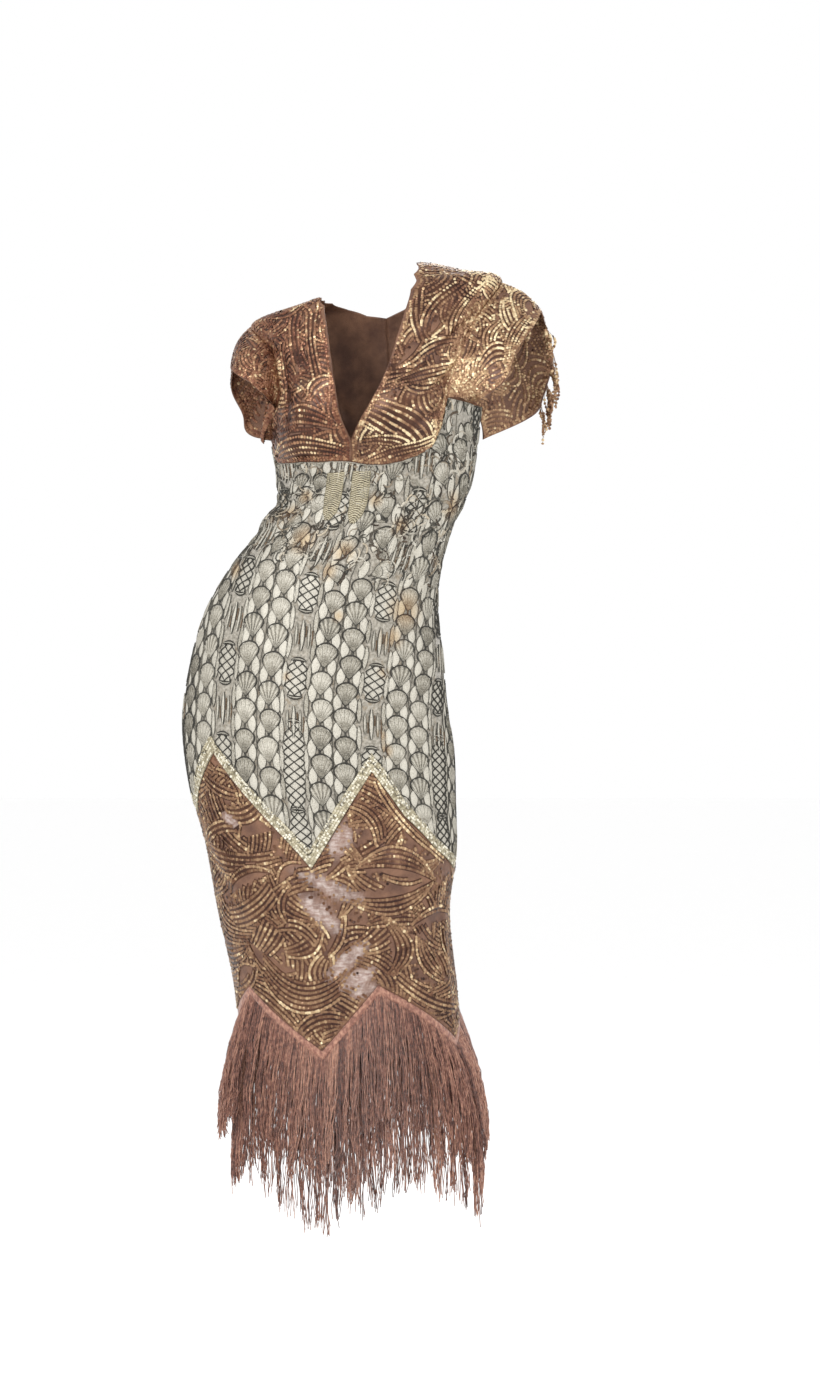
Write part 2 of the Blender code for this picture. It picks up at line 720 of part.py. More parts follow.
def make_fringe(name, inset, length, flare, flare_left, finish, seed):
    """A ring of strands fused to the narrow strip that is sewn under the skirt's zigzag hem."""
    chance = random.Random(seed)
    strip = []
    for k, corner in enumerate(SKIRT_HEM):
        after = SKIRT_HEM[(k + 1) % len(SKIRT_HEM)]
        end_turn = after.turn if k + 1 < len(SKIRT_HEM) else after.turn + 360
        edge = math.hypot(
            (end_turn - corner.turn) * METRES_PER_TURN_DEGREE, after.height - corner.height
        )
        cells = 2 * max(round(edge / STRAND_SPACING), 1)
        for step in range(cells):
            share = step / cells
            turn = corner.turn + (end_turn - corner.turn) * share
            strip.append((turn, corner.height + (after.height - corner.height) * share))
    count = len(strip)
    mesh_data = bmesh.new()
    top_out, top_in, low_out, low_in, outs = [], [], [], [], []
    for turn, height in strip:
        run = run_of_real_height(turn, height - 2 * SEAM_GAP)
        low_run = run_of_real_height(turn, height - 2 * SEAM_GAP - STRIP_HEIGHT)
        normal = form_normal(turn, run)
        top = cloth_point(turn, run) - normal * inset
        low = cloth_point(turn, low_run) - normal * inset
        top_out.append(mesh_data.verts.new(top))
        low_out.append(mesh_data.verts.new(low))
        top_in.append(mesh_data.verts.new(top - normal * STRIP_WALL))
        low_in.append(mesh_data.verts.new(low - normal * STRIP_WALL))
        outs.append(normal)
    for k in range(count):
        after = (k + 1) % count
        mesh_data.faces.new((low_out[k], low_out[after], top_out[after], top_out[k]))
        mesh_data.faces.new((low_in[k], top_in[k], top_in[after], low_in[after]))
        mesh_data.faces.new((top_out[k], top_out[after], top_in[after], top_in[k]))
        root = (low_out[k], low_in[k], low_in[after], low_out[after])
        if k % 2:
            mesh_data.faces.new(root)
        else:
            add_strand(mesh_data, root, outs[k], strip[k][0], length, flare, flare_left, chance)
    return new_object(name, mesh_data, finish)


def add_strand(mesh_data, root, outward, turn, length, flare, flare_left, chance):
    """A four-sided lock from its root on the strip down to a point."""
    middle_share, middle_spread, middle_width, middle_depth = 0.36, 0.62, 0.9, 0.3
    long = length * chance.uniform(0.93, 1.05)
    spread = flare + flare_left * math.sin(math.radians(turn))
    level_out = Vector((outward.x, outward.y, 0.0)).normalized()
    sideways = Vector((-level_out.y, level_out.x, 0.0)) * chance.uniform(-0.002, 0.002)
    centre = sum((vert.co for vert in root), Vector()) / 4
    middle = centre + Vector((0, 0, -long * middle_share)) + sideways
    middle += level_out * spread * middle_spread
    ring = [mesh_data.verts.new(middle + (vert.co - centre) * middle_width) for vert in root]
    for vert, corner in zip(ring, root):
        vert.co.z = middle.z + (corner.co.z - centre.z) * middle_depth
    tip = mesh_data.verts.new(centre + Vector((0, 0, -long)) + level_out * spread + sideways)
    for k in range(4):
        after = (k + 1) % 4
        mesh_data.faces.new((root[k], root[after], ring[after], ring[k]))
        mesh_data.faces.new((ring[k], ring[after], tip))


def make_finishes():
    made = {}
    for name, finish in FINISHES.items():
        material = bpy.data.materials.new(name)
        material.use_nodes = True
        shader = material.node_tree.nodes["Principled BSDF"]
        shader.inputs["Base Color"].default_value = (*finish.colour, 1.0)
        shader.inputs["Roughness"].default_value = finish.roughness
        shader.inputs["Metallic"].default_value = finish.metallic
        made[name] = material
    return made


def main():
    clear_scene()
    finishes = make_finishes()
    make_body_and_skirt(finishes)
    for side, word in ((1, "left"), (-1, "right")):
        make_bodice_quarter(f"bodice_front_{word}", side, False, finishes["copper_sequin"])
        make_bodice_quarter(f"bodice_back_{word}", side, True, finishes["copper_sequin"])
        make_tab(f"braid_tab_{word}", side, bpy.data.objects["body_front"], finishes["pale_braid"])
    make_sleeve("sleeve_left", 1, LEFT_SLEEVE_HEM, finishes["copper_sequin"])
    make_sleeve("sleeve_right", -1, RIGHT_SLEEVE_HEM, finishes["copper_sequin"])
    behind = STRIP_WALL + 2 * SEAM_GAP
    make_fringe("fringe_upper", 0.0, UPPER_FRINGE_LENGTH, 0.033, 0.006, finishes["copper_fringe"], 3)
    make_fringe("fringe_lower", behind, LOWER_FRINGE_LENGTH, 0.022, 0.012, finishes["copper_fringe"], 8)


main()
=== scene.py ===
"""The visual model of the flapper dress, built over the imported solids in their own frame."""

import math
from collections import namedtuple

import bpy
import numpy as np
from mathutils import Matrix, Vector


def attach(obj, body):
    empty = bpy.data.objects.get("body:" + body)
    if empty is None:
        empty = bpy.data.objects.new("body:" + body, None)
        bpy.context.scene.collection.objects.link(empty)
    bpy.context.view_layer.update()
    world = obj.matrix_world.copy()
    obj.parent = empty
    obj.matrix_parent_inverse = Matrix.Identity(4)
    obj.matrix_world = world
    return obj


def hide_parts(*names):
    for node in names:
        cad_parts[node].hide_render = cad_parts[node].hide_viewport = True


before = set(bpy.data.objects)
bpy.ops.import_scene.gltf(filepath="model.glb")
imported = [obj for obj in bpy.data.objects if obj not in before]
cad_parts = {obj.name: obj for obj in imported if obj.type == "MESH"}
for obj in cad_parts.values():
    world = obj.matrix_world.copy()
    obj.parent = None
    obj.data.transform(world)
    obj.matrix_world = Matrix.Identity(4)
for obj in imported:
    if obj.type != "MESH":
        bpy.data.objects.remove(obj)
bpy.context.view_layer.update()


# Camera, floor and light
# A long lens stands level before the hips, as in the photograph. The floor is a plain pale sheet, and three
# soft lamps and a white room light the dress from the front and both sides.
CAMERA_PLACE = (0.0535, -5.0, -0.571)
CAMERA_LENS = 93.7
FLOOR_HEIGHT = -1.515
FLOOR_SIZE = 60.0
Lamp = namedtuple("Lamp", "name place aim size power")
LAMPS = [
    Lamp("key_lamp", (-1.7, -2.6, 1.3), (0, 0, -0.5), 1.2, 48),
    Lamp("fill_lamp", (2.4, -2.2, 0.4), (0, 0, -0.6), 1.6, 22),
    Lamp("back_lamp", (0.6, 2.6, 1.2), (0, 0, -0.5), 1.6, 30),
]

scene = bpy.context.scene
scene.view_settings.view_transform = "Standard"

camera = bpy.data.objects.new("camera", bpy.data.cameras.new("camera"))
camera.location = CAMERA_PLACE
camera.rotation_euler = (math.radians(90), 0, 0)
camera.data.lens = CAMERA_LENS
camera.data.sensor_fit = "AUTO"
camera.data.sensor_width = 36
scene.collection.objects.link(camera)
scene.camera = camera

for lamp in LAMPS:
    light = bpy.data.lights.new(lamp.name, "AREA")
    light.size = lamp.size
    light.energy = lamp.power
    holder = bpy.data.objects.new(lamp.name, light)
    holder.location = lamp.place
    aim = Vector(lamp.aim) - Vector(lamp.place)
    holder.rotation_euler = aim.to_track_quat("-Z", "Y").to_euler()
    scene.collection.objects.link(holder)

room = bpy.data.worlds.new("white_room")
room.use_nodes = True
room.node_tree.nodes["Background"].inputs["Color"].default_value = (1, 1, 1, 1)
room.node_tree.nodes["Background"].inputs["Strength"].default_value = 1.0
scene.world = room


class Value:
    """One output of a shader node. Python sums and products of values add the Math nodes for them."""

    def __init__(self, socket):
        self.socket = socket

    def maths(self, operation, *values):
        finish = Finish(self.socket.id_data)
        return finish.node("ShaderNodeMath", {"operation": operation}, dict(enumerate(values)))[0]

    def __add__(self, other):
        return self.maths("ADD", self, other)

    def __sub__(self, other):
        return self.maths("SUBTRACT", self, other)

    def __rsub__(self, other):
        return self.maths("SUBTRACT", other, self)

    def __mul__(self, other):
        return self.maths("MULTIPLY", self, other)

    def __gt__(self, other):
        return self.maths("GREATER_THAN", self, other)

    def within(self, low, high):
        """0 below low, 1 above high and a straight ramp between them."""
        settings = {"clamp": True}
        sockets = {"Value": self, "From Min": low, "From Max": high}
        return Finish(self.socket.id_data).node("ShaderNodeMapRange", settings, sockets)[0]

    __radd__ = __add__
    __rmul__ = __mul__


class Finish:
    """The nodes of one material."""

    def __init__(self, tree):
        self.tree = tree

    def node(self, kind, settings=None, sockets=None):
        """Adds a node, makes its settings first, then fills or links its sockets, and gives its outputs."""
        made = self.tree.nodes.new(kind)
        for name, setting in (settings or {}).items():
            if name == "stops":
                ramp = made.color_ramp
                while len(ramp.elements) < len(setting):
                    ramp.elements.new(1.0)
                for element, (place, colour) in zip(ramp.elements, setting):
                    element.position = place
                    element.color = (*colour, 1.0)
            else:
                setattr(made, name, setting)
        for name, value in (sockets or {}).items():
            if isinstance(value, Value):
                self.tree.links.new(value.socket, made.inputs[name])
            else:
                made.inputs[name].default_value = value
        return [Value(output) for output in made.outputs]

    def mix(self, share, first, second):
        colours = [c if isinstance(c, Value) else (*c, 1.0) for c in (first, second)]
        sockets = {0: share, 6: colours[0], 7: colours[1]}
        return self.node("ShaderNodeMix", {"data_type": "RGBA"}, sockets)[2]

    def place(self):
        return self.node("ShaderNodeTexCoord")[3]

    def noise(self, scale, detail=2.0, stretch=(1, 1, 1)):
        """Soft blotches, scale of them to the metre."""
        place = self.node("ShaderNodeMapping", {}, {"Vector": self.place(), "Scale": stretch})[0]
        return self.node("ShaderNodeTexNoise", {}, {"Vector": place, "Scale": scale, "Detail": detail})[0]

    def ramp(self, value, stops):
        return self.node("ShaderNodeValToRGB", {"stops": stops}, {"Fac": value})[0]

    def attribute(self, name):
        return self.node("ShaderNodeAttribute", {"attribute_name": name})[2]

    def surface(self, sockets, height=None, distance=0.001, strength=1.0):
        """The shader itself, with a bump from a height if there is one."""
        if height is not None:
            bump = {"Height": height, "Distance": distance, "Strength": strength}
            sockets = {**sockets, "Normal": self.node("ShaderNodeBump", {}, bump)[0]}
        shader = self.node("ShaderNodeBsdfPrincipled", {}, sockets)[0]
        self.node("ShaderNodeOutputMaterial", {}, {"Surface": shader})


def new_material(name, fill):
    material = bpy.data.materials.new(name)
    material.use_nodes = True
    material.node_tree.nodes.clear()
    fill(Finish(material.node_tree))
    return material


def shade(*levels):
    """A colour as seen on a screen, 0 to 255, as the shader wants it."""
    levels = (level / 255 for level in levels)
    return tuple(level / 12.92 if level <= 0.04 else ((level + 0.055) / 1.055) ** 2.4 for level in levels)


def floor_finish(finish):
    grain = finish.noise(18, 4)
    finish.surface({"Base Color": finish.mix(grain, (0.98, 0.98, 0.98), (1.0, 1.0, 1.0)), "Roughness": 0.9})


floor_mesh = bpy.data.meshes.new("floor")
floor_half = FLOOR_SIZE / 2
floor_corners = ((-1, -1), (1, -1), (1, 1), (-1, 1))
floor_corners = [(x * floor_half, y * floor_half, FLOOR_HEIGHT) for x, y in floor_corners]
floor_mesh.from_pydata(floor_corners, [], [(0, 1, 2, 3)])
floor_mesh.materials.append(new_material("pale_floor", floor_finish))
floor = bpy.data.objects.new("floor", floor_mesh)
scene.collection.objects.link(floor)


# Fan body
# The long body from the bust to the zigzag hem is ivory satin, cut as a front and a back that are sewn at
# the sides. It follows the pulls and creases of the dress as it is worn.
Section = namedtuple("Section", "height across half_width rise front back behind turn")
SECTIONS = [
    Section(0.005, -0.003, 0.0655, 0.368, 0.060, 0.055, 0.005, -5),
    Section(-0.009, 0.003, 0.121, 0.223, 0.066, 0.062, 0.005, -7),
    Section(-0.025, 0.007, 0.1725, 0.168, 0.076, 0.075, 0.005, -9),
    Section(-0.075, 0.007, 0.159, 0.100, 0.101, 0.094, 0.000, -9.5),
    Section(-0.144, 0.007, 0.146, 0.060, 0.122, 0.100, -0.002, -11),
    Section(-0.195, 0.006, 0.144, 0.050, 0.127, 0.100, -0.004, -15),
    Section(-0.246, 0.007, 0.139, 0.060, 0.107, 0.093, 0.000, -19),
    Section(-0.280, 0.003, 0.135, -0.010, 0.097, 0.088, 0.001, -20),
    Section(-0.318, -0.0105, 0.125, -0.100, 0.089, 0.084, 0.002, -17),
    Section(-0.366, -0.031, 0.127, -0.180, 0.092, 0.092, 0.003, -14),
    Section(-0.421, -0.052, 0.143, -0.200, 0.099, 0.110, 0.004, -11),
    Section(-0.483, -0.066, 0.164, -0.170, 0.106, 0.124, 0.004, -10),
    Section(-0.551, -0.0735, 0.176, -0.130, 0.112, 0.130, 0.003, -9),
    Section(-0.620, -0.073, 0.185, -0.100, 0.118, 0.128, 0.000, -7),
    Section(-0.696, -0.067, 0.181, -0.060, 0.120, 0.121, -0.004, -5),
    Section(-0.778, -0.055, 0.170, -0.030, 0.116, 0.113, -0.006, -4),
    Section(-0.860, -0.051, 0.158, -0.010, 0.109, 0.105, -0.006, -3),
    Section(-0.963, -0.035, 0.152, 0.000, 0.105, 0.101, 0.000, -3),
    Section(-1.085, -0.024, 0.153, 0.000, 0.107, 0.103, 0.003, -3),
]
SeamPoint = namedtuple("SeamPoint", "turn height")
BUST_SEAM = [
    SeamPoint(0, -0.251),
    SeamPoint(10, -0.2545),
    SeamPoint(20, -0.2555),
    SeamPoint(30, -0.252),
    SeamPoint(39, -0.2455),
    SeamPoint(46.5, -0.234),
    SeamPoint(51, -0.213),
    SeamPoint(52.5, -0.190),
    SeamPoint(53, -0.170),
]
RIGHT_BUST_SEAM = [
    SeamPoint(0, -0.251),
    SeamPoint(10, -0.2465),
    SeamPoint(20, -0.2445),
    SeamPoint(31, -0.241),
    SeamPoint(42, -0.2405),
    SeamPoint(53, -0.240),
    SeamPoint(64, -0.237),
    SeamPoint(72, -0.226),
    SeamPoint(75, -0.208),
]
LEFT_UNDERARM, RIGHT_UNDERARM = SeamPoint(90, -0.180), SeamPoint(90, -0.200)
Corner = namedtuple("Corner", "turn height cells")
FAN_HEM = [
    Corner(-90, -0.705, 2),
    Corner(-75, -0.722, 3),
    Corner(-46, -0.642, 7),
    Corner(-6, -0.797, 4),
    Corner(27, -0.667, 2),
    Corner(41, -0.727, 2),
    Corner(60, -0.773, 2),
    Corner(84, -0.800, 2),
    Corner(90, -0.784, 3),
    Corner(116, -0.668, 8),
    Corner(184, -0.794, 5),
    Corner(217, -0.638, 8),
]
# Ridges (depth above 0) and troughs of the cloth: the solids' own folds, then the finer creases.
Fold = namedtuple("Fold", "turn height to_turn to_height width depth")
FOLDS = [
    Fold(30, -0.180, 36, -0.205, 0.042, 0.011),
    Fold(-30, -0.180, -36, -0.205, 0.042, 0.011),
    Fold(0, -0.170, 0, -0.240, 0.022, -0.009),
    Fold(52, -0.060, 24, -0.150, 0.013, 0.004),
    Fold(44, -0.050, 18, -0.110, 0.012, -0.003),
    Fold(-52, -0.065, -26, -0.140, 0.013, 0.004),
    Fold(8, -0.205, 46, -0.228, 0.011, 0.003),
    Fold(-10, -0.222, -48, -0.214, 0.011, 0.003),
    Fold(-88, -0.305, -38, -0.322, 0.012, -0.004),
    Fold(-84, -0.345, -46, -0.338, 0.012, 0.003),
    Fold(96, -0.330, 40, -0.352, 0.013, -0.003),
    Fold(120, -0.300, 172, -0.318, 0.014, 0.004),
    Fold(238, -0.322, 190, -0.330, 0.014, -0.004),
    Fold(-66, -0.470, -24, -0.520, 0.022, 0.003),
    Fold(70, -0.500, 30, -0.545, 0.022, 0.003),
    Fold(-62, -0.760, -30, -0.900, 0.022, 0.006),
    Fold(6, -0.812, 52, -0.780, 0.016, 0.005),
    Fold(8, -0.850, -4, -1.000, 0.024, -0.008),
    Fold(64, -0.820, 30, -0.935, 0.020, 0.006),
    Fold(40, -0.960, 74, -0.985, 0.018, 0.004),
    Fold(108, -0.800, 150, -0.930, 0.024, 0.006),
    Fold(180, -0.830, 184, -1.000, 0.028, -0.008),
    Fold(252, -0.790, 214, -0.930, 0.024, 0.006),
    # Fine creases of the bodice
    Fold(14, -0.120, 38, -0.160, 0.007, -0.0018),
    Fold(20, -0.215, 50, -0.205, 0.006, 0.0016),
    Fold(6, -0.232, 34, -0.246, 0.006, -0.0016),
    Fold(-14, -0.130, -34, -0.150, 0.007, 0.0016),
    Fold(-12, -0.205, -60, -0.196, 0.006, -0.0018),
    Fold(-18, -0.232, -66, -0.224, 0.006, 0.0018),
    Fold(-40, -0.150, -56, -0.190, 0.006, -0.0015),
    Fold(-61, -0.080, -56, -0.150, 0.006, -0.0032),
    Fold(-52, -0.100, -49, -0.168, 0.006, 0.0028),
    Fold(-46, -0.135, -36, -0.190, 0.006, -0.0028),
    Fold(-66, -0.176, -44, -0.172, 0.005, 0.0024),
    Fold(-70, -0.206, -40, -0.208, 0.005, -0.0026),
    Fold(-38, -0.090, -30, -0.120, 0.006, -0.0022),
    Fold(-26, -0.070, -22, -0.110, 0.006, 0.0020),
    Fold(-24, -0.150, -44, -0.140, 0.005, 0.0020),
    Fold(50, -0.085, 30, -0.130, 0.006, -0.0028),
    Fold(56, -0.110, 36, -0.160, 0.006, 0.0026),
    Fold(52, -0.150, 26, -0.176, 0.006, -0.0026),
    Fold(34, -0.060, 22, -0.090, 0.006, 0.0022),
    Fold(48, -0.190, 14, -0.222, 0.006, -0.0024),
    Fold(132, -0.080, 150, -0.170, 0.007, -0.0026),
    Fold(226, -0.080, 206, -0.170, 0.007, 0.0026),
    Fold(170, -0.110, 196, -0.210, 0.007, -0.0022),
    # Fine creases of the body
    Fold(-92, -0.285, -58, -0.296, 0.006, -0.0018),
    Fold(-76, -0.326, -20, -0.334, 0.006, 0.0014),
    Fold(-96, -0.372, -54, -0.358, 0.007, -0.0016),
    Fold(100, -0.300, 62, -0.318, 0.006, 0.0016),
    Fold(94, -0.366, 48, -0.372, 0.007, 0.0013),
    Fold(-50, -0.420, -6, -0.446, 0.010, -0.0012),
    Fold(86, -0.450, 50, -0.474, 0.010, 0.0013),
    Fold(134, -0.330, 176, -0.340, 0.007, -0.0018),
    Fold(226, -0.300, 184, -0.352, 0.007, 0.0014),
    Fold(150, -0.420, 206, -0.432, 0.011, 0.0014),
    # Fine creases of the skirt
    Fold(-70, -0.800, -44, -0.850, 0.010, -0.0020),
    Fold(-30, -0.820, -16, -0.940, 0.011, 0.0022),
    Fold(24, -0.740, 50, -0.820, 0.009, -0.0020),
    Fold(20, -0.860, 34, -0.940, 0.010, -0.0024),
    Fold(76, -0.850, 66, -0.990, 0.011, 0.0022),
    Fold(140, -0.780, 160, -0.990, 0.012, -0.0024),
    Fold(204, -0.780, 196, -0.980, 0.012, 0.0024),
    Fold(236, -0.760, 246, -0.960, 0.011, -0.0020),
]
METRES_PER_TURN_DEGREE = 0.0026
BUST_SEAM_COLUMNS, UNDERARM_COLUMNS = 8, 4
CLOTH_THICKNESS, CLOTH_TIMES, BODY_ROWS = 0.0012, 5, 96


def read_curve(stations, values, at):
    """A smooth curve through the values, read at any number of places."""
    stations, values = np.asarray(stations, float), np.asarray(values, float)
    last = len(stations) - 1
    before = np.maximum(np.arange(last + 1) - 1, 0)
    after = np.minimum(np.arange(last + 1) + 1, last)
    slope = (values[after] - values[before]) / (stations[after] - stations[before])
    at = np.clip(at, stations[0], stations[-1])
    k = np.clip(np.searchsorted(stations, at) - 1, 0, last - 1)
    width = stations[k + 1] - stations[k]
    t = (at - stations[k]) / width
    rest = 1 - t
    return (
        values[k] * (1 + 2 * t) * rest**2
        + values[k + 1] * t**2 * (3 - 2 * t)
        + slope[k] * width * t * rest**2
        - slope[k + 1] * width * t**2 * rest
    )


side_steps = [
    math.hypot(b.height - a.height, b.half_width - a.half_width) for a, b in zip(SECTIONS, SECTIONS[1:])
]
RUNS = np.concatenate([[0.0], np.cumsum(side_steps)])


def column(rows, field):
    return [getattr(row, field) for row in rows]


def size_at(field, run):
    return read_curve(RUNS, column(SECTIONS, field), run)


def form(turn, run):
    """The smooth form of the dress at a turn round from the centre front and a run down from the neck."""
    angle, twist = np.radians(turn), np.radians(size_at("turn", run))
    side = size_at("half_width", run) * np.sin(angle)
    depth = np.where(np.cos(angle) > 0, size_at("front", run), size_at("back", run)) * np.cos(angle)
    x = side * np.cos(twist) + depth * np.sin(twist)
    y = side * np.sin(twist) - depth * np.cos(twist)
    z = size_at("height", run) + size_at("rise", run) * x
    return np.stack([size_at("across", run) + x, size_at("behind", run) + y, z], -1)


def unit(vectors):
    return vectors / np.maximum(np.linalg.norm(vectors, axis=-1, keepdims=True), 1e-9)


def outward(turn, run):
    round_step, down_step = 0.5, 0.001
    along = form(turn + round_step, run) - form(turn - round_step, run)
    up = form(turn, run - down_step) - form(turn, run + down_step)
    return unit(np.cross(along, up))


def folded(turn, run, folds):
    """How far folds push the cloth out of its form."""
    height = size_at("height", run)
    push = np.zeros(np.shape(turn))
    for fold in folds:
        x = ((turn - fold.turn + 180) % 360 - 180) * METRES_PER_TURN_DEGREE
        y = height - fold.height
        to_x = (fold.to_turn - fold.turn) * METRES_PER_TURN_DEGREE
        to_y = fold.to_height - fold.height
        share = np.clip((x * to_x + y * to_y) / (to_x**2 + to_y**2), 0, 1)
        away = np.hypot(x - share * to_x, y - share * to_y) / fold.width
        push = push + fold.depth * np.exp(-(away**2))
    return push


def cloth(turn, run, lift=0.0):
    """The cloth itself, pushed out by its folds, or a place at some lift off it."""
    turn, run = np.broadcast_arrays(np.asarray(turn, float), np.asarray(run, float))
    return form(turn, run) + outward(turn, run) * (folded(turn, run, FOLDS) + lift)[..., None]


fine_runs = np.linspace(0, RUNS[-1], 3000)
fine_heights = size_at("height", fine_runs)


def run_of_section_height(height):
    return np.interp(-np.asarray(height), -fine_heights, fine_runs)


def run_of_real_height(turn, height):
    low, high = np.zeros(np.shape(turn)), np.full(np.shape(turn), RUNS[-1])
    for _ in range(34):
        middle = (low + high) / 2
        too_low = form(np.asarray(turn, float), middle)[..., 2] < height
        high, low = np.where(too_low, middle, high), np.where(too_low, low, middle)
    return (low + high) / 2


def hem_line(corners, drop=0.0):
    """Turns and runs along a zigzag hem, at every grid column, from the right side seam round the front."""
    corners = corners + [corners[0]._replace(turn=corners[0].turn + 360)]
    stations = np.cumsum([0] + column(corners, "cells")[:-1])
    at = np.arange(stations[-1] + 1)
    turns, heights = (np.interp(at, stations, column(corners, field)) for field in ("turn", "height"))
    return np.stack([turns, run_of_real_height(turns, heights - drop)])


def seam_line(points, cells):
    at = np.linspace(0, len(points) - 1, cells + 1)
    turns, heights = (
        read_curve(range(len(points)), column(points, field), at) for field in ("turn", "height")
    )
    return np.stack([turns, run_of_section_height(heights)])


def quarter_top(bust_seam, underarm):
    under = seam_line([bust_seam[-1], underarm], UNDERARM_COLUMNS)
    return np.hstack([seam_line(bust_seam, BUST_SEAM_COLUMNS), under[:, 1:]])


def turned(line, sign, start):
    """A seam line mirrored or moved round to another quarter, its turns still growing."""
    line = np.stack([start + sign * line[0], line[1]])
    return line if sign > 0 else line[:, ::-1]


left_top, right_top = quarter_top(BUST_SEAM, LEFT_UNDERARM), quarter_top(RIGHT_BUST_SEAM, RIGHT_UNDERARM)
right_back_top = quarter_top(BUST_SEAM, RIGHT_UNDERARM)
body_top = np.hstack(
    [
        turned(right_top, -1, 0)[:, :-1],
        left_top,
        turned(left_top, -1, 180)[:, 1:],
        turned(right_back_top, 1, 180)[:, 1:],
    ]
)
fan_hem = hem_line(FAN_HEM)
Half = namedtuple("Half", "name middle columns")
HALVES = [Half("front", 0, slice(0, 25)), Half("back", 180, slice(24, 49))]


def finer(line, times):
    """A seam line with more points between its own."""
    at = np.linspace(0, line.shape[1] - 1, (line.shape[1] - 1) * times + 1)
    return np.stack([np.interp(at, np.arange(line.shape[1]), row) for row in line])


def cloth_between(top, low, times, rows):
    """Grids of turns and runs between an upper and a lower seam line, the lowest row first."""
    top, low = finer(top, times), finer(low, times)
    share = np.linspace(0, 1, rows + 1)[:, None]
    return low[0] + (top[0] - low[0]) * share, low[1] + (top[1] - low[1]) * share


def new_piece(name, parts, material, node=None):
    """One mesh from parts, each its points, its faces and its tones by name. It rides on the dress."""
    faces, count = [], 0
    for points, part_faces, _ in parts:
        faces += (part_faces + count).tolist()
        count += len(points)
    mesh = bpy.data.meshes.new(name)
    mesh.from_pydata(np.concatenate([points for points, *_ in parts]).tolist(), [], faces)
    for tone_name in parts[0][2]:
        layer = mesh.attributes.new(tone_name, "FLOAT", "POINT")
        levels = [np.broadcast_to(tones[tone_name], len(points)) for points, _, tones in parts]
        layer.data.foreach_set("value", np.concatenate(levels).astype(np.float32))
    mesh.shade_smooth()
    mesh.materials.append(material)
    piece = bpy.data.objects.new(name, mesh)
    scene.collection.objects.link(piece)
    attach(piece, "root")
    if node:
        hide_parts(node)
    return piece


def grid_faces(index):
    """The faces between the points of a grid of point numbers."""
    corners = (index[:-1, :-1], index[:-1, 1:], index[1:, 1:], index[1:, :-1])
    return np.stack(corners, -1).reshape(-1, 4)


def wall(places, outs, thickness=CLOTH_THICKNESS, **tones):
    """A closed wall as one part of a piece: a grid of places outside and the same grid moved in behind it."""
    grid, count = places.shape[:2], places[..., 0].size
    index = np.arange(count).reshape(grid)
    outer = grid_faces(index)
    loop = np.concatenate([index[0], index[1:, -1], index[-1, -2::-1], index[-2:0:-1, 0]])
    after = np.roll(loop, -1)
    rim = np.stack([after, loop, loop + count, after + count], -1)
    points = np.concatenate([places.reshape(-1, 3), (places - outs * thickness).reshape(-1, 3)])
    tones = {name: np.tile(np.broadcast_to(tone, grid).ravel(), 2) for name, tone in tones.items()}
    return points, np.vstack([outer, outer[:, ::-1] + count, rim]), tones


def satin_finish(finish):
    mottle = finish.noise(260, 3).within(0.3, 0.7)
    ground = finish.mix(mottle, shade(124, 118, 105), shade(188, 181, 168))
    stain = finish.noise(150, 3).within(0.5, 0.62) * finish.noise(20, 2).within(0.45, 0.6)
    colour = finish.mix(stain * 0.5, ground, shade(138, 118, 90))
    thread = finish.noise(1400, 2, (1.0, 1.0, 0.35))
    finish.surface(
        {"Base Color": colour, "Roughness": 0.28 + mottle * 0.22, "Metallic": 0.2, "Sheen Weight": 0.3},
        thread + mottle * 0.8,
        0.0012,
        0.7,
    )


satin = new_material("ivory_satin", satin_finish)
for half in HALVES:
    node = f"body_{half.name}"
    grids = cloth_between(body_top[:, half.columns], fan_hem[:, half.columns], CLOTH_TIMES, BODY_ROWS)
    parts = [wall(cloth(*grids), outward(*grids))]
    new_piece(f"{node}_satin", parts, satin, node)


# Fan beading
# Beads, cord and satin stitch worked on the satin: columns of fans in pairs with a chain line between them,
# and beside each pair a column of slim rods and lattice knots. It is sewn through the cloth.
FAN_WIDTH, FAN_HEIGHT, FAN_PITCH = 0.029, 0.034, 0.0376
REPEAT = 0.105
FAN_COLUMNS = ((0.035, 0.0), (0.070, 0.26))
KNOT_WIDTH, KNOT_HEIGHT, LONG_KNOT_HEIGHT, KNOT_PITCH = 0.029, 0.046, 0.115, 0.117
STRIP_OFFSET, STRIP_DROP, ROW_STAGGER = 0.0168, 0.014, 0.012
# Where the rows begin and end, and how far down the beading is crowded
FIRST_ROW, LAST_ROW, CROWDED_DOWN_TO, SCRAPS_DOWN_TO = -0.16, -0.84, -0.43, -0.40
SCRAPS = 760
OUTLINE_TONE, FILL_TONE, IVORY_TONE = 0.04, 0.68, 0.95
# How far the columns lean to the wearer's right, from the lowest place up
Lean = namedtuple("Lean", "height shift")
LEAN = [
    Lean(-0.80, -0.029),
    Lean(-0.68, -0.021),
    Lean(-0.63, -0.016),
    Lean(-0.50, -0.005),
    Lean(-0.40, -0.012),
    Lean(-0.37, -0.009),
    Lean(-0.20, -0.004),
]


def ways_along(line):
    """How far along the cloth each point of a line of turns and runs lies."""
    steps = np.linalg.norm(np.diff(form(*line), axis=0), axis=1)
    return np.concatenate([[0], np.cumsum(steps)])


def ways_round(turns, row_runs):
    """How far round from the middle turn every turn lies, in a row for each run."""
    ways = np.array([ways_along((turns, np.full(turns.shape, run))) for run in row_runs])
    return ways - ways[:, turns.size // 2, None]


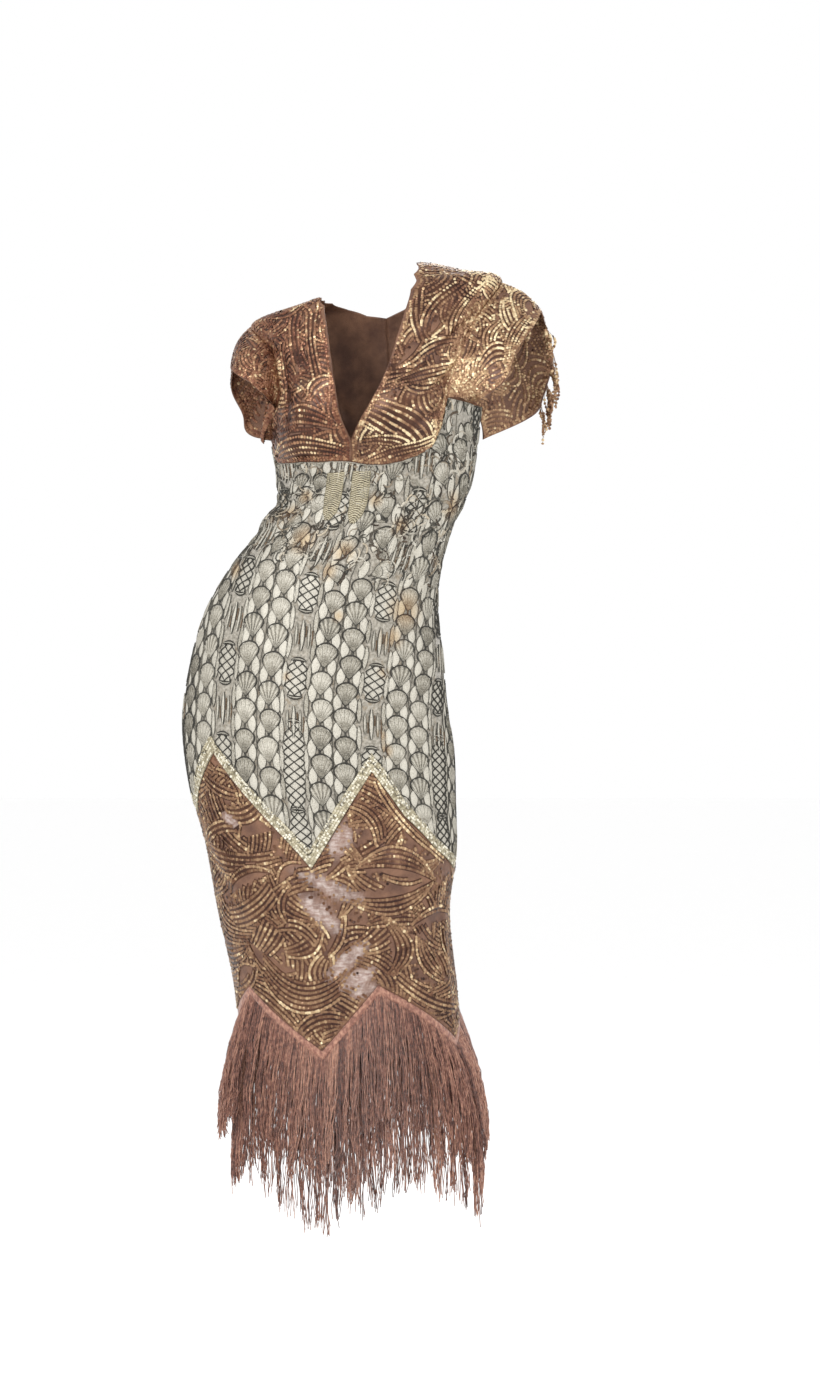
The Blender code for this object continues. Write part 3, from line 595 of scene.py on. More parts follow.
def read_grid(grid, rows, columns):
    """Reads a grid of values or places at row and column numbers that may lie between its own."""
    rows, columns = np.clip(rows, 0, grid.shape[0] - 1.001), np.clip(columns, 0, grid.shape[1] - 1.001)
    i, j = rows.astype(int), columns.astype(int)
    more = (...,) + (None,) * (grid.ndim - 2)
    down, along = (rows - i)[more], (columns - j)[more]
    upper = grid[i, j] * (1 - along) + grid[i, j + 1] * along
    lower = grid[i + 1, j] * (1 - along) + grid[i + 1, j + 1] * along
    return upper * (1 - down) + lower * down


def turns_at(ways, runs, middle):
    """The turns of places whose ways round the cloth are measured from the centre front or back."""
    reach, columns, rows = 0.62, 497, 120
    turns = np.linspace(middle - 180, middle + 180, 361)
    chart = ways_round(turns, np.linspace(0, RUNS[-1], rows))
    table = np.array([np.interp(np.linspace(-reach, reach, columns), row, turns) for row in chart])
    return read_grid(table, runs / RUNS[-1] * (rows - 1), (ways + reach) / (2 * reach) * (columns - 1))


class Motif:
    """A small flat drawing in raised lines and fills: places across and up, lifts, tones and faces."""

    def __init__(self):
        self.points, self.lifts, self.tones, self.faces = [], [], [], []

    def grid(self, points, lifts, tones):
        """A patch whose rows go up and whose columns go to the right."""
        size = points.shape[:2]
        index = np.arange(size[0] * size[1]).reshape(size)
        self.faces.append(grid_faces(index + sum(map(len, self.points))))
        self.points.append(points.reshape(-1, 2))
        self.lifts.append(np.broadcast_to(lifts, size).ravel())
        self.tones.append(np.broadcast_to(tones, size).ravel())

    def cord(self, line, width, lift, tone):
        """A raised cord along a line of points."""
        line = np.asarray(line, float)
        ahead = np.gradient(line, axis=0)
        ahead /= np.maximum(np.linalg.norm(ahead, axis=1, keepdims=True), 1e-9)
        right = np.stack([ahead[:, 1], -ahead[:, 0]], -1) * width / 2
        points = np.stack([line - right, line, line + right], 1)
        lifts = np.broadcast_to([0.0001, lift, 0.0001], points.shape[:2])
        self.grid(points, lifts, tone)

    def lobe(self, middle, up, half_width, crown, tone, outline=None):
        """A flat lobe round a middle line, higher along its middle, with a thin outline down both sides."""
        columns = [np.stack([middle + k * half_width, up], -1) for k in (-1, 0, 1)]
        self.grid(np.stack(columns, 1), np.array([0.0002, crown, 0.0002]), tone)
        for edge in (columns[0], columns[2]) if outline else ():
            self.cord(edge, 0.0010, 0.0012, outline)

    def joined(self):
        return [np.concatenate(part) for part in (self.points, self.lifts, self.tones, self.faces)]


FAN_SIDE_UP = (0.0, 0.10, 0.25, 0.42, 0.60, 0.76, 0.89, 0.97, 1.0)
FAN_SIDE_ACROSS = (0.0, 0.20, 0.48, 0.80, 1.0, 0.97, 0.72, 0.38, 0.0)


def fan_side(s):
    """Half the outline of a fan, from its lowest point (s = 0) over its widest to its top (s = 1)."""
    stations = np.linspace(0, 1, len(FAN_SIDE_UP))
    across = FAN_WIDTH / 2 * read_curve(stations, FAN_SIDE_ACROSS, s)
    return np.stack([across, FAN_HEIGHT * read_curve(stations, FAN_SIDE_UP, s)], -1)


def both_sides(side):
    """A whole outline from its right half: up the left side, over the top and down the right."""
    return np.concatenate([side * [-1, 1], side[-2::-1]])


def fan_motif(striped):
    """A fan of beads inside a dark outline, paler towards its rim by painted shading, with ribs and a cross
    bar.
    """
    motif = Motif()
    rim = both_sides(fan_side(np.linspace(0.34, 1, 8)))
    share = np.array([0.02, 0.35, 0.7, 0.97])[:, None, None]
    band = np.arange(15) % 2
    stripes = np.where(band, 0.92, 0.26) if striped else FILL_TONE + 0.16 * (band - 0.5)
    # Painted shading over each fan's fill: darkest at its point, palest a little short of its rim.
    painted_shading = np.array([-0.24, -0.02, 0.16, 0.0])[:, None]
    lifts = np.array([0.0008, 0.0018, 0.0020, 0.0006])[:, None]
    motif.grid(rim * share, lifts, stripes + painted_shading)
    ribs = fan_side(np.array([0.5, 0.66, 0.82]))
    for x, y in both_sides(np.vstack([ribs, [(0.0, FAN_HEIGHT)]])):
        line = np.outer(np.linspace(0.25, 0.90, 4), (x, y))
        motif.cord(line, 0.0012, 0.0028, IVORY_TONE if striped else FILL_TONE - 0.13)
    t = np.linspace(-1, 1, 5)
    motif.cord(np.stack([t * 0.0062, 0.0095 + 0.0025 * t**2], -1), 0.0014, 0.0030, 0.86)
    top = both_sides(fan_side(np.linspace(0.42, 1, 9)))
    motif.cord(top, 0.0025, 0.0027, OUTLINE_TONE)
    for side in (-1, 1):
        low = fan_side(np.linspace(0.02, 0.44, 5)) * [side, 1]
        motif.cord(low, 0.0017, 0.0022, 0.16)
    motif.cord([(0, 0.002), (0.0004, -0.004)], 0.0030, 0.002, 0.12)
    return motif.joined()


def shield_motif():
    """The ivory satin lobes on both sides of where a fan stands on the next, each with a thin outline."""
    motif = Motif()
    t = np.linspace(-1, 1, 7)
    half_width = 0.0062 * np.clip(1 - t**2, 0.004, 1) ** 0.7
    for side in (-1, 1):
        motif.lobe(side * (0.0108 - 0.0006 * t), 0.0030 + 0.0135 * t, half_width, 0.0013, 0.97, 0.30)
    return motif.joined()


def strip_motif():
    """A tall ivory lozenge between two thin cords, which fills the ground beside the rods and knots."""
    motif = Motif()
    t = np.linspace(-1, 1, 7)
    motif.lobe(0, 0.017 * t, 0.0034 * np.clip(1 - t**2, 0.01, 1) ** 0.5, 0.0012, 0.9, 0.26)
    return motif.joined()


def chain_motif():
    """A thin upright cord, as long as the step from one fan to the next."""
    motif = Motif()
    t = np.linspace(0, 1, 5)
    motif.cord(np.stack([0 * t, (t - 0.5) * FAN_PITCH], -1), 0.0013, 0.0014, 0.34)
    return motif.joined()


def rod_motif():
    """A slim ivory spindle with a dark outline between two thinner ones."""
    motif = Motif()
    t = np.linspace(0, 1, 9)
    for centre, width, length in ((0.0, 0.0060, 0.042), (-0.0088, 0.0036, 0.030), (0.0088, 0.0036, 0.034)):
        half_width = width / 2 * np.sin(np.pi * np.clip(t, 0.04, 0.96)) ** 0.6
        up = (t - 0.5) * length
        left, middle, right = (np.stack([centre + k * half_width, up], -1) for k in (-1, 0, 1))
        lifts = np.array([0.0004, 0.0026, 0.0004])
        motif.grid(np.stack([left, middle, right], 1), lifts, IVORY_TONE - 0.08)
        for side in (left, right[::-1]):
            motif.cord(side, 0.0013, 0.0018, 0.10 if width > 0.005 else 0.34)
    return motif.joined()


def stroke_motif():
    """Three short strokes that stand beside the spindles."""
    motif = Motif()
    for x, low, high in ((-0.0046, -0.013, 0.002), (0.0046, -0.002, 0.013), (0.0135, -0.012, 0.008)):
        motif.cord([(x, low), (x + 0.0006, (low + high) / 2), (x, high)], 0.0018, 0.0018, 0.1)
    return motif.joined()


def knot_motif(height):
    """A lattice of four dark cords that wind past each other over ivory, with a bow at each end, as on a
    traditional braided knot."""
    motif = Motif()
    winds = 0.92 * height / KNOT_HEIGHT
    t = np.linspace(0, 1, round(18 * winds))
    full = KNOT_WIDTH / 2 * (0.62 + 0.38 * np.clip(4 * np.minimum(t, 1 - t), 0, 1))
    motif.lobe(0, (t - 0.5) * height, full, 0.0010, 0.90)
    for phase in (0.0, 0.25, 0.5, 0.75):
        wave = np.arcsin(0.97 * np.sin(2 * np.pi * (t * winds + phase))) / 1.33
        motif.cord(np.stack([full * wave, (t - 0.5) * height], -1), 0.0022, 0.0026, OUTLINE_TONE)
    for end in (-1, 1):
        x = np.linspace(-1, 1, 7)
        for rise, tone in ((0.0035, OUTLINE_TONE), (0.0, OUTLINE_TONE), (0.0018, 0.97)):
            up = end * (height / 2 + rise * (1 - x**2) * 1.3 + 0.0008)
            motif.cord(np.stack([x * KNOT_WIDTH * 0.36, up], -1)[::end], 0.0016, 0.0024, tone)
    return motif.joined()


def scrap_motif(bend):
    """A short bent row of beads that fills a gap in the crowded beading round the waist."""
    motif = Motif()
    t = np.linspace(-1, 1, 5)
    motif.cord(np.stack([t * 0.0065, bend * t**2], -1), 0.0022, 0.0024, 0.5)
    return motif.joined()


MOTIFS = {
    "fan": fan_motif(False),
    "striped fan": fan_motif(True),
    "shield": shield_motif(),
    "chain": chain_motif(),
    "strip": strip_motif(),
    "rod": rod_motif(),
    "stroke": stroke_motif(),
    "knot": knot_motif(KNOT_HEIGHT),
    "long knot": knot_motif(LONG_KNOT_HEIGHT),
    "scrap": scrap_motif(0.003),
    "bent scrap": scrap_motif(-0.006),
}
Spot = namedtuple("Spot", "motif way run size lean tone warmth", defaults=(1.0, 0, 0, 0))
# Patches where copper thread shows among the beads: the way round, the height and the radius of each
Stain = namedtuple("Stain", "way height radius")
STAINS = [
    Stain(-0.030, -0.365, 0.024),
    Stain(-0.075, -0.330, 0.020),
    Stain(0.030, -0.372, 0.018),
    Stain(0.020, -0.400, 0.014),
    Stain(0.135, -0.430, 0.030),
    Stain(0.120, -0.470, 0.020),
    Stain(0.115, -0.522, 0.010),
    Stain(-0.055, -0.300, 0.014),
    Stain(0.090, -0.330, 0.014),
    Stain(0.045, -0.455, 0.010),
    Stain(0.118, -0.610, 0.010),
    Stain(0.048, -0.300, 0.012),
    Stain(-0.130, -0.420, 0.016),
    Stain(0.125, -0.630, 0.012),
    Stain(-0.012, -0.545, 0.008),
    Stain(0.160, -0.300, 0.018),
]


def stained(ways, heights):
    """How much copper shows at each place, from 0 to 1."""
    total = np.zeros(np.shape(ways))
    for stain in STAINS:
        away = np.hypot(ways - stain.way, heights - stain.height) / stain.radius
        total = np.maximum(total, np.exp(-(away**2)))
    return total


def fan_spots(chance):
    """Where each motif of one half of the body goes, as ways round from its centre line and runs."""
    spots = []
    first_run, last_run, crowded_run, scraps_run = run_of_section_height(
        [FIRST_ROW, LAST_ROW, CROWDED_DOWN_TO, SCRAPS_DOWN_TO]
    )
    for repeat in range(-4, 5):
        for offset, drop in FAN_COLUMNS:
            run = first_run + drop * FAN_PITCH + (repeat % 2) * ROW_STAGGER
            while run < last_run:
                busy = run < crowded_run
                name = "striped fan" if chance.random() < 0.3 else "fan"
                tone = chance.uniform(-0.13, 0.13)
                jitter = chance.normal(0, 0.0034 if busy else 0.0005, 2)
                lean = chance.normal(0, 0.32 if busy else 0.05)
                way = repeat * REPEAT + offset + jitter[0]
                size = chance.uniform(0.74, 1.0) if busy else chance.uniform(0.96, 1.03)
                spots.append(Spot(name, way, run + jitter[1], size, lean, tone))
                spots.append(Spot("shield", way, run, tone=chance.uniform(-0.1, 0)))
                run += FAN_PITCH
        middle = repeat * REPEAT + sum(offset for offset, _ in FAN_COLUMNS) / 2
        for run in np.arange(first_run, last_run, FAN_PITCH):
            spots.append(Spot("chain", middle, run, tone=chance.uniform(-0.05, 0.1), warmth=0.1))
            for side in (-1, 1):
                way = repeat * REPEAT + side * STRIP_OFFSET
                spots.append(Spot("strip", way, run + STRIP_DROP, tone=chance.uniform(-0.25, 0)))
        run, long_run = first_run + (0.035 if repeat % 2 else 0.043), first_run + 4.33 * KNOT_PITCH
        while run < last_run:
            name = "long knot" if run > long_run else "knot"
            spots.append(Spot(name, repeat * REPEAT, run, warmth=0.05))
            if run - KNOT_PITCH < long_run:
                spots.append(Spot("rod", repeat * REPEAT, run - KNOT_PITCH / 2, warmth=0.05))
                spots.append(Spot("stroke", repeat * REPEAT, run - KNOT_PITCH / 2, tone=0.2, warmth=0.9))
            run += KNOT_PITCH
    for _ in range(SCRAPS):
        way = chance.uniform(-0.26, 0.26)
        run = first_run + (scraps_run - first_run) * chance.uniform(0, 1) ** 0.8
        name = "scrap" if chance.random() < 0.5 else "bent scrap"
        tone, lean = chance.choice([-0.45, -0.3, 0.1, 0.42]), chance.uniform(0, 2 * math.pi)
        spots.append(Spot(name, way, run, chance.uniform(0.8, 1.7), lean, tone, chance.uniform(0, 0.7)))
    return spots


def spread(spots, middle):
    """All motifs of one half as one set of points on the cloth, with their turns, runs, lifts and faces."""
    worked, faces, count = [], [], 0
    for spot in spots:
        points, lift, tone, face = MOTIFS[spot.motif]
        cosine, sine = math.cos(spot.lean), math.sin(spot.lean)
        x = (points[:, 0] * cosine - points[:, 1] * sine) * spot.size
        y = (points[:, 0] * sine + points[:, 1] * cosine) * spot.size
        tone, warmth = np.clip(tone + spot.tone, 0, 1), np.full(len(x), spot.warmth)
        worked.append(np.stack([spot.way + x, spot.run - y, lift, tone, warmth]))
        faces.append(face + count)
        count += len(x)
    ways, runs, lifts, tones, warmths = np.concatenate(worked, axis=1)
    heights = size_at("height", runs)
    warmths = np.maximum(warmths, stained(ways, heights))
    ways = ways + np.interp(heights, *zip(*LEAN))
    return turns_at(ways, runs, middle), runs, lifts, tones, warmths, np.concatenate(faces)


def kept(faces, inside):
    """Only the faces with some of their points inside, and those points' numbers."""
    faces = faces[inside[faces].any(axis=1)]
    used, faces = np.unique(faces, return_inverse=True)
    return used, faces.reshape(-1, 4)


def bead_finish(finish):
    tone, warmth = finish.attribute("tone"), finish.attribute("warmth")
    grain = finish.noise(620, 3).within(0.3, 0.7)
    level = tone + (grain - 0.5) * 0.42
    cool_stops = [
        (0.0, shade(44, 42, 36)),
        (0.28, shade(90, 87, 78)),
        (0.6, shade(145, 139, 125)),
        (0.95, shade(200, 195, 182)),
    ]
    warm_stops = [(0.0, shade(60, 42, 28)), (0.5, shade(128, 102, 74)), (0.95, shade(192, 172, 140))]
    cool, warm = finish.ramp(level, cool_stops), finish.ramp(level, warm_stops)
    colour = finish.mix(warmth.within(0.3, 1.0), cool, warm)
    sockets = {"Base Color": colour, "Roughness": 0.30 + grain * 0.2, "Metallic": 0.3}
    finish.surface(sockets, grain, 0.0006, 0.6)


beads = new_material("fan_beads", bead_finish)
BRAID_WIDTH = 0.014
for half in HALVES:
    spots = fan_spots(np.random.default_rng(11 + half.middle))
    turns, runs, lifts, tones, warmths, faces = spread(spots, half.middle)
    top_run = np.interp(turns, *body_top, period=360) + 0.0008
    low_run = np.interp(turns, *fan_hem, period=360) - BRAID_WIDTH
    inside = (runs > top_run) & (runs < low_run) & (np.abs(turns - half.middle) < 90)
    used, faces = kept(faces, inside)
    turns = np.clip(turns[used], half.middle - 89.9, half.middle + 89.9)
    runs = np.clip(runs[used], top_run[used], low_run[used])
    worked = cloth(turns, runs, lifts[used] + 0.0004), faces, {"tone": tones[used], "warmth": warmths[used]}
    piece = new_piece(f"fan_beading_{half.name}", [worked], beads)


# Hem braid
# A pale gold braid, four rows of flat beads on a stiff tape, sewn along the zigzag where the satin body
# ends and the sequinned skirt begins.
BRAID_ROWS, BRAID_BEAD, BRAID_LIFT = 4, 0.0019, 0.0018
CUP_SIDES = 6
CUP_POINTS = CUP_SIDES + 1


def cups(places, outs, radius, rise, chance, tilt):
    """Small flat cups, one at each place, each leaning a little its own way."""
    count = len(places)
    outs = unit(outs + chance.normal(0, tilt, (count, 3)))
    guide = np.where(np.abs(outs[:, 2:3]) > 0.9, [[1.0, 0, 0]], [[0, 0, 1.0]])
    first = unit(np.cross(outs, guide))
    second = np.cross(outs, first)
    radius = np.broadcast_to(radius, (count,))
    angles = np.arange(CUP_SIDES) * 2 * math.pi / CUP_SIDES
    spin = chance.uniform(0, 2 * math.pi, (count, 1)) + angles
    rim = places[:, None] + radius[:, None, None] * (
        np.cos(spin)[..., None] * first[:, None] + np.sin(spin)[..., None] * second[:, None]
    )
    points = np.concatenate([(places + outs * rise)[:, None], rim], 1)
    index = np.arange(count)[:, None] * CUP_POINTS
    ring = np.arange(CUP_SIDES)
    faces = np.stack([index + 0 * ring, index + 1 + ring, index + 1 + (ring + 1) % CUP_SIDES], -1)
    return points.reshape(-1, 3), faces.reshape(-1, 3)


def braid_finish(finish):
    tone = finish.attribute("tone")
    grain = finish.noise(700, 2).within(0.3, 0.7)
    stops = [(0.0, shade(94, 84, 62)), (0.45, shade(188, 178, 150)), (1.0, shade(240, 235, 218))]
    colour = finish.ramp(tone + (grain - 0.5) * 0.3, stops)
    sockets = {"Base Color": colour, "Roughness": 0.28 + grain * 0.2, "Metallic": 0.35}
    finish.surface(sockets, grain, 0.0005, 0.6)


braid_gold = new_material("pale_gold_braid", braid_finish)


def braid_heights(line):
    """The braid's height at every grid column, taller where the hem runs steeply."""
    heights = form(*line)[:, 2]
    ways, climbs = np.diff(line[0]) * METRES_PER_TURN_DEGREE, np.abs(np.diff(heights))
    steep = climbs / ways
    steep = (steep + np.roll(steep, 1)) / 2
    return BRAID_WIDTH * np.hypot(1, np.append(steep, steep[0]))


braid_chance = np.random.default_rng(21)
hem_fine, top_fine = finer(fan_hem, 8), finer(body_top, 8)
band_height = finer(np.stack([fan_hem[0], braid_heights(fan_hem)]), 8)[1]


def along_braid(share):
    """The turns and runs of a line along the braid, at a share of its width up from the hem."""
    share = share * band_height / (hem_fine[1] - top_fine[1])
    return [low + (high - low) * share for low, high in zip(hem_fine, top_fine)]


def at_ways(line, ways):
    """The turns and runs of places that lie so far along a line."""
    along = ways_along(line)
    return np.stack([np.interp(ways, along, values) for values in line])


band_line = along_braid(np.linspace(0, 1, 4)[:, None])
bead_lines = []
for row in range(BRAID_ROWS):
    line = along_braid((row + 0.5) / BRAID_ROWS)
    length = ways_along(line)[-1]
    count = round(length / (BRAID_BEAD * 1.75))
    bead_lines.append(at_ways(line, (np.arange(count) + 0.5 * (row % 2)) / count * length))
bead_line = np.hstack(bead_lines)
bead_points, bead_faces = cups(
    cloth(*bead_line, BRAID_LIFT + 0.0002), outward(*bead_line), BRAID_BEAD, 0.0010, braid_chance, 0.22
)
bead_tone = np.repeat(braid_chance.uniform(0.1, 1.0, len(bead_points) // CUP_POINTS), CUP_POINTS)
new_piece(
    "hem_braid",
    [
        wall(cloth(*band_line, BRAID_LIFT), outward(*band_line), tone=0.3),
        (bead_points, bead_faces, {"tone": bead_tone}),
    ],
    braid_gold,
    "braid_hem",
)


# Braid tabs
# Two short pointed tabs of pale gold ribbed braid below the point of the neck opening, sewn on flat at
# their edges.
TabRow = namedtuple("TabRow", "height inner outer")
TAB_ROWS = [
    TabRow(-0.334, 0.0145, 0.0205),
    TabRow(-0.322, 0.0080, 0.0275),
    TabRow(-0.304, 0.0062, 0.0305),
    TabRow(-0.284, 0.0058, 0.0310),
    TabRow(-0.2625, 0.0055, 0.0310),
]
TAB_RIB, TAB_THICKNESS, TAB_LINES, TAB_COLUMNS = 0.0032, 0.0016, 180, 9
tab_at = np.linspace(0, len(TAB_ROWS) - 1, TAB_LINES)
tab_heights, tab_inner, tab_outer = (
    np.interp(tab_at, range(len(TAB_ROWS)), column(TAB_ROWS, field)) for field in TabRow._fields
)
SIDES = {"left": 1, "right": -1}
for word, side in SIDES.items():
    run = run_of_section_height(tab_heights)[:, None]
    across = np.linspace(0, 1, TAB_COLUMNS)[::side]
    away = side * (tab_inner[:, None] + (tab_outer - tab_inner)[:, None] * across)
    turn = np.degrees(np.arcsin(away / size_at("half_width", run)))
    down = (tab_heights[:, None] + 0.0018 * np.cos(across * 2 * math.pi)) / TAB_RIB
    rib = 0.5 + 0.5 * np.cos(2 * math.pi * down)
    edge = np.minimum(across, 1 - across) < 0.1
    lift = 0.0019 + np.where(edge, 0.0010, 0.0012 * rib)
    outs = outward(turn, np.broadcast_to(run, turn.shape))
    # The tone over the ribs is painted shade, pale on their crests and dark in the grooves between them; the
    # edges are given a darker tone.
    tab = wall(cloth(turn, run, lift), outs, TAB_THICKNESS, tone=np.where(edge, 0.26, 0.66 * rib**2))
    new_piece(f"tab_{word}", [tab], braid_gold, f"braid_tab_{word}")


# Skirt
# The skirt from the braid to the lower zigzag is brown net, almost hidden under gold and copper sequins
# that are sewn on in leaf-shaped groups of close arcs. A few patches of bare pale net are left between them.
SKIRT_HEM = [
    Corner(-90, -0.992, 2),
    Corner(-83, -0.997, 3),
    Corner(-56, -0.959, 7),
    Corner(-12, -1.043, 4),
    Corner(20, -0.954, 6),
    Corner(73, -1.031, 2),
    Corner(90, -1.001, 3),
    Corner(112, -0.957, 8),
    Corner(178, -1.045, 5),
    Corner(216, -0.957, 8),
]
SEQUIN, SEQUIN_SIZES, SEQUIN_STEP, SEQUIN_RISE, ARC_STEP = 0.0023, (0.8, 1.1), 0.0030, 0.0007, 0.0068
# Dark strips of painted shade under the rows of sequins: their step along a row and their lift off the net
SHADE_STRIP_STEP, SHADE_STRIP_LIFT = 0.005, 0.0003
SKIRT_ROWS, SKIRT_EDGE, SKIRT_LIFT, SKIRT_TILT, SKIRT_DIM, SKIRT_FILL = 56, 0.002, 0.0008, 0.2, 0.91, 5600
SKIRT_BOX, SKIRT_LEAF_PITCH, SKIRT_LEAF_LENGTHS = ((-0.27, -1.05), (0.27, -0.62)), 0.058, (0.07, 0.12)
# Leaf groups placed one by one on the front: way round and height of the line between a leaf's tips, its
# length, the bow of its outer arc, its slant, how many arcs it has, how far their ends stand open and how
# much they gather inwards
Leaf = namedtuple("Leaf", "way height length bow slant arcs open gather", defaults=(0, 0))
SKIRT_LEAVES = [
    Leaf(-0.049, -0.804, 0.044, 0.012, 39, 1),
    Leaf(-0.036, -0.901, 0.058, 0.014, -149, 4, 0.6),
    Leaf(-0.043, -0.879, 0.050, 0.010, -23, 3, 1.0),
    Leaf(-0.057, -0.844, 0.060, 0.022, 77, 4, 0.3, 0.3),
    Leaf(-0.171, -0.817, 0.084, 0.013, 34, 3, 0.5),
    Leaf(-0.159, -0.755, 0.069, 0.010, 25, 3, 1.0),
    Leaf(-0.110, -0.685, 0.052, 0.013, -50, 4, 1.0),
    Leaf(-0.092, -0.752, 0.054, 0.021, 14, 1),
    Leaf(-0.099, -0.730, 0.057, 0.009, -159, 4, 1.0),
    Leaf(-0.146, -0.791, 0.142, 0.016, 169, 5, 1.0),
    Leaf(-0.110, -0.819, 0.077, 0.020, 24, 2),
    Leaf(-0.105, -0.859, 0.084, 0.010, -152, 5, 1.0),
    Leaf(-0.143, -0.944, 0.051, 0.014, 28, 1),
    Leaf(-0.091, -0.919, 0.078, 0.027, 150, 2),
    Leaf(-0.018, -0.941, 0.060, 0.020, 86, 4, 0.3, 0.5),
    Leaf(-0.032, -1.005, 0.070, 0.013, 16, 4, 1.0),
    Leaf(-0.055, -0.962, 0.110, 0.030, 169, 7, 1.0),
    Leaf(0.086, -0.824, 0.135, 0.034, -172, 4),
    Leaf(0.160, -0.868, 0.094, 0.020, 5, 2),
    Leaf(0.081, -0.902, 0.076, 0.027, -94, 4, 0.6),
    Leaf(0.136, -0.922, 0.078, 0.018, 121, 5, 0.3, 0.5),
    Leaf(0.122, -0.972, 0.101, 0.010, 153, 3, 1.0),
    Leaf(0.143, -1.010, 0.066, 0.009, 152, 2, 1.0),
    Leaf(0.070, -0.727, 0.062, 0.016, -52, 4, 1.0),
    Leaf(0.132, -0.732, 0.142, 0.014, 130, 3, 1.0),
    Leaf(0.100, -0.803, 0.116, 0.038, -8, 5),
]
# Streaks of bare net: way round and height of the middle, length, width and slant
Streak = namedtuple("Streak", "way height length width slant")
BARE_NET = [
    Streak(0.008, -0.823, 0.100, 0.022, -24),
    Streak(-0.010, -0.858, 0.074, 0.026, -45),
    Streak(0.017, -0.921, 0.092, 0.021, 37),
    Streak(0.026, -0.946, 0.060, 0.020, 27),
    Streak(0.032, -0.963, 0.040, 0.014, 22),
    Streak(0.026, -0.759, 0.056, 0.028, 51),
    Streak(-0.130, -0.738, 0.030, 0.014, -30),
]


def arcs_of(leaf, chance):
    """Places across and up along a leaf's arcs, with a tone for each, and the four corners of every dark
    patch of painted shade that shows between them. The outer arc is the palest, and a few sequins carry
    painted glints."""
    slant = math.radians(leaf.slant)
    slanting = np.array([[math.cos(slant), math.sin(slant)], [-math.sin(slant), math.cos(slant)]])
    fine = np.linspace(-1, 1, 60)
    arcs, tones, patches = [], [], []
    for below in range(leaf.arcs):
        ends, middle = -below * ARC_STEP * leaf.open, leaf.bow - below * ARC_STEP
        reach = leaf.length / 2 * (1 - leaf.gather * below / leaf.arcs)
        curve = np.stack([fine * reach, ends + (middle - ends) * (1 - fine**2)])
        along = np.concatenate([[0], np.cumsum(np.hypot(*np.diff(curve)))])
        at = np.arange(0, along[-1], SEQUIN_STEP)
        arcs.append(np.stack([np.interp(at, along, values) for values in curve], -1) @ slanting)
        level = (0.60 if below else 0.72) + chance.normal(0, 0.08)
        # Painted glints: a few sequins of each arc made paler, as where light catches them.
        painted_glint = chance.random(len(at)) < 0.09
        tones.append(np.clip(chance.normal(level, 0.09, len(at)) + 0.3 * painted_glint, 0, 1))
        at = np.arange(0, along[-1] + SHADE_STRIP_STEP, SHADE_STRIP_STEP)
        line = np.stack([np.interp(at, along, values) for values in curve], -1) @ slanting
        side = slanting[1] * ARC_STEP * 0.52
        patches.append(np.stack([line[:-1] - side, line[1:] - side, line[1:] + side, line[:-1] + side], 1))
    middle = np.array([leaf.way, leaf.height])
    return np.concatenate(arcs) + middle, np.concatenate(tones), np.concatenate(patches) + middle


def slanted(mark, ways, heights):
    """Places measured along and across a leaf or a streak, from its middle."""
    slant = math.radians(mark.slant)
    way, up = ways - mark.way, heights - mark.height
    return way * math.cos(slant) + up * math.sin(slant), up * math.cos(slant) - way * math.sin(slant)


def outside_leaf(leaf, places):
    x, y = slanted(leaf, *places.T)
    share = np.clip(1 - (2 * x / leaf.length) ** 2, 0, 1)
    below = (leaf.arcs - 1) * ARC_STEP
    lowest = (leaf.bow - below) * share - below * leaf.open * (1 - share)
    return (share <= 0) | (y < np.minimum(0, lowest) - 0.003) | (y > leaf.bow * share + 0.003)


def sequins_in_leaves(leaves, fill_box, fill_count, chance):
    """All the sequins with their tones, and the dark patches of painted shade. A later leaf hides what lies
    under it, and odd sequins fill the gaps."""
    places, tones = chance.uniform(*fill_box, (fill_count, 2)), chance.uniform(0.0, 0.8, fill_count)
    patches = np.empty((0, 4, 2))
    for leaf in leaves:
        shown, bare = outside_leaf(leaf, places), outside_leaf(leaf, patches.mean(axis=1))
        new_places, new_tones, new_patches = arcs_of(leaf, chance)
        places, tones = np.vstack([places[shown], new_places]), np.append(tones[shown], new_tones)
        patches = np.vstack([patches[bare], new_patches])
    return places, tones, patches


def painted_shade_strips(places):
    """Faces over sets of four corners: dark strips of painted shade under the rows of sequins."""
    return places.reshape(-1, 3), np.arange(places[..., 0].size).reshape(-1, 4), {"tone": 0.12, "red": 0.4}


def scattered_leaves(box, pitch, chance, sizes):
    """Leaves all over a box, on a shaken grid, each with its own slant."""
    (low_way, low_up), (high_way, high_up) = box
    leaves = []
    for up in np.arange(low_up, high_up, pitch * 0.7):
        for way in np.arange(low_way, high_way, pitch):
            shake = chance.uniform(-0.3, 0.3, 2) * pitch
            length, slant = chance.uniform(*sizes), chance.uniform(0, 360)
            bow, opening = length * chance.uniform(0.16, 0.36), chance.choice([0.0, 0.5, 1.0])
            arcs = max(round(bow / ARC_STEP), 2) + 3 * (opening > 0)
            leaves.append(Leaf(way + shake[0], up + shake[1], length, bow, slant, arcs, opening))
    return leaves


def net_finish(finish):
    blotch = finish.noise(40, 3)
    mesh_grain = finish.noise(1100, 2)
    colour = finish.mix(blotch.within(0.35, 0.65), shade(92, 60, 44), shade(132, 94, 70))
    torn = finish.noise(110, 3, (1.0, 1.0, 0.6)).within(0.42, 0.58)
    bare = finish.attribute("bare") * (torn * 0.5 + 0.5)
    streaky = finish.noise(300, 3, (0.35, 1.0, 1.0)).within(0.35, 0.65)
    colour = finish.mix(bare, colour, finish.mix(streaky, shade(158, 132, 122), shade(206, 190, 182)))
    colour = finish.mix(mesh_grain.within(0.5, 0.75) * 0.5, colour, shade(58, 34, 26))
    finish.surface({"Base Color": colour, "Roughness": 0.5, "Metallic": 0.1}, mesh_grain, 0.0008, 0.8)


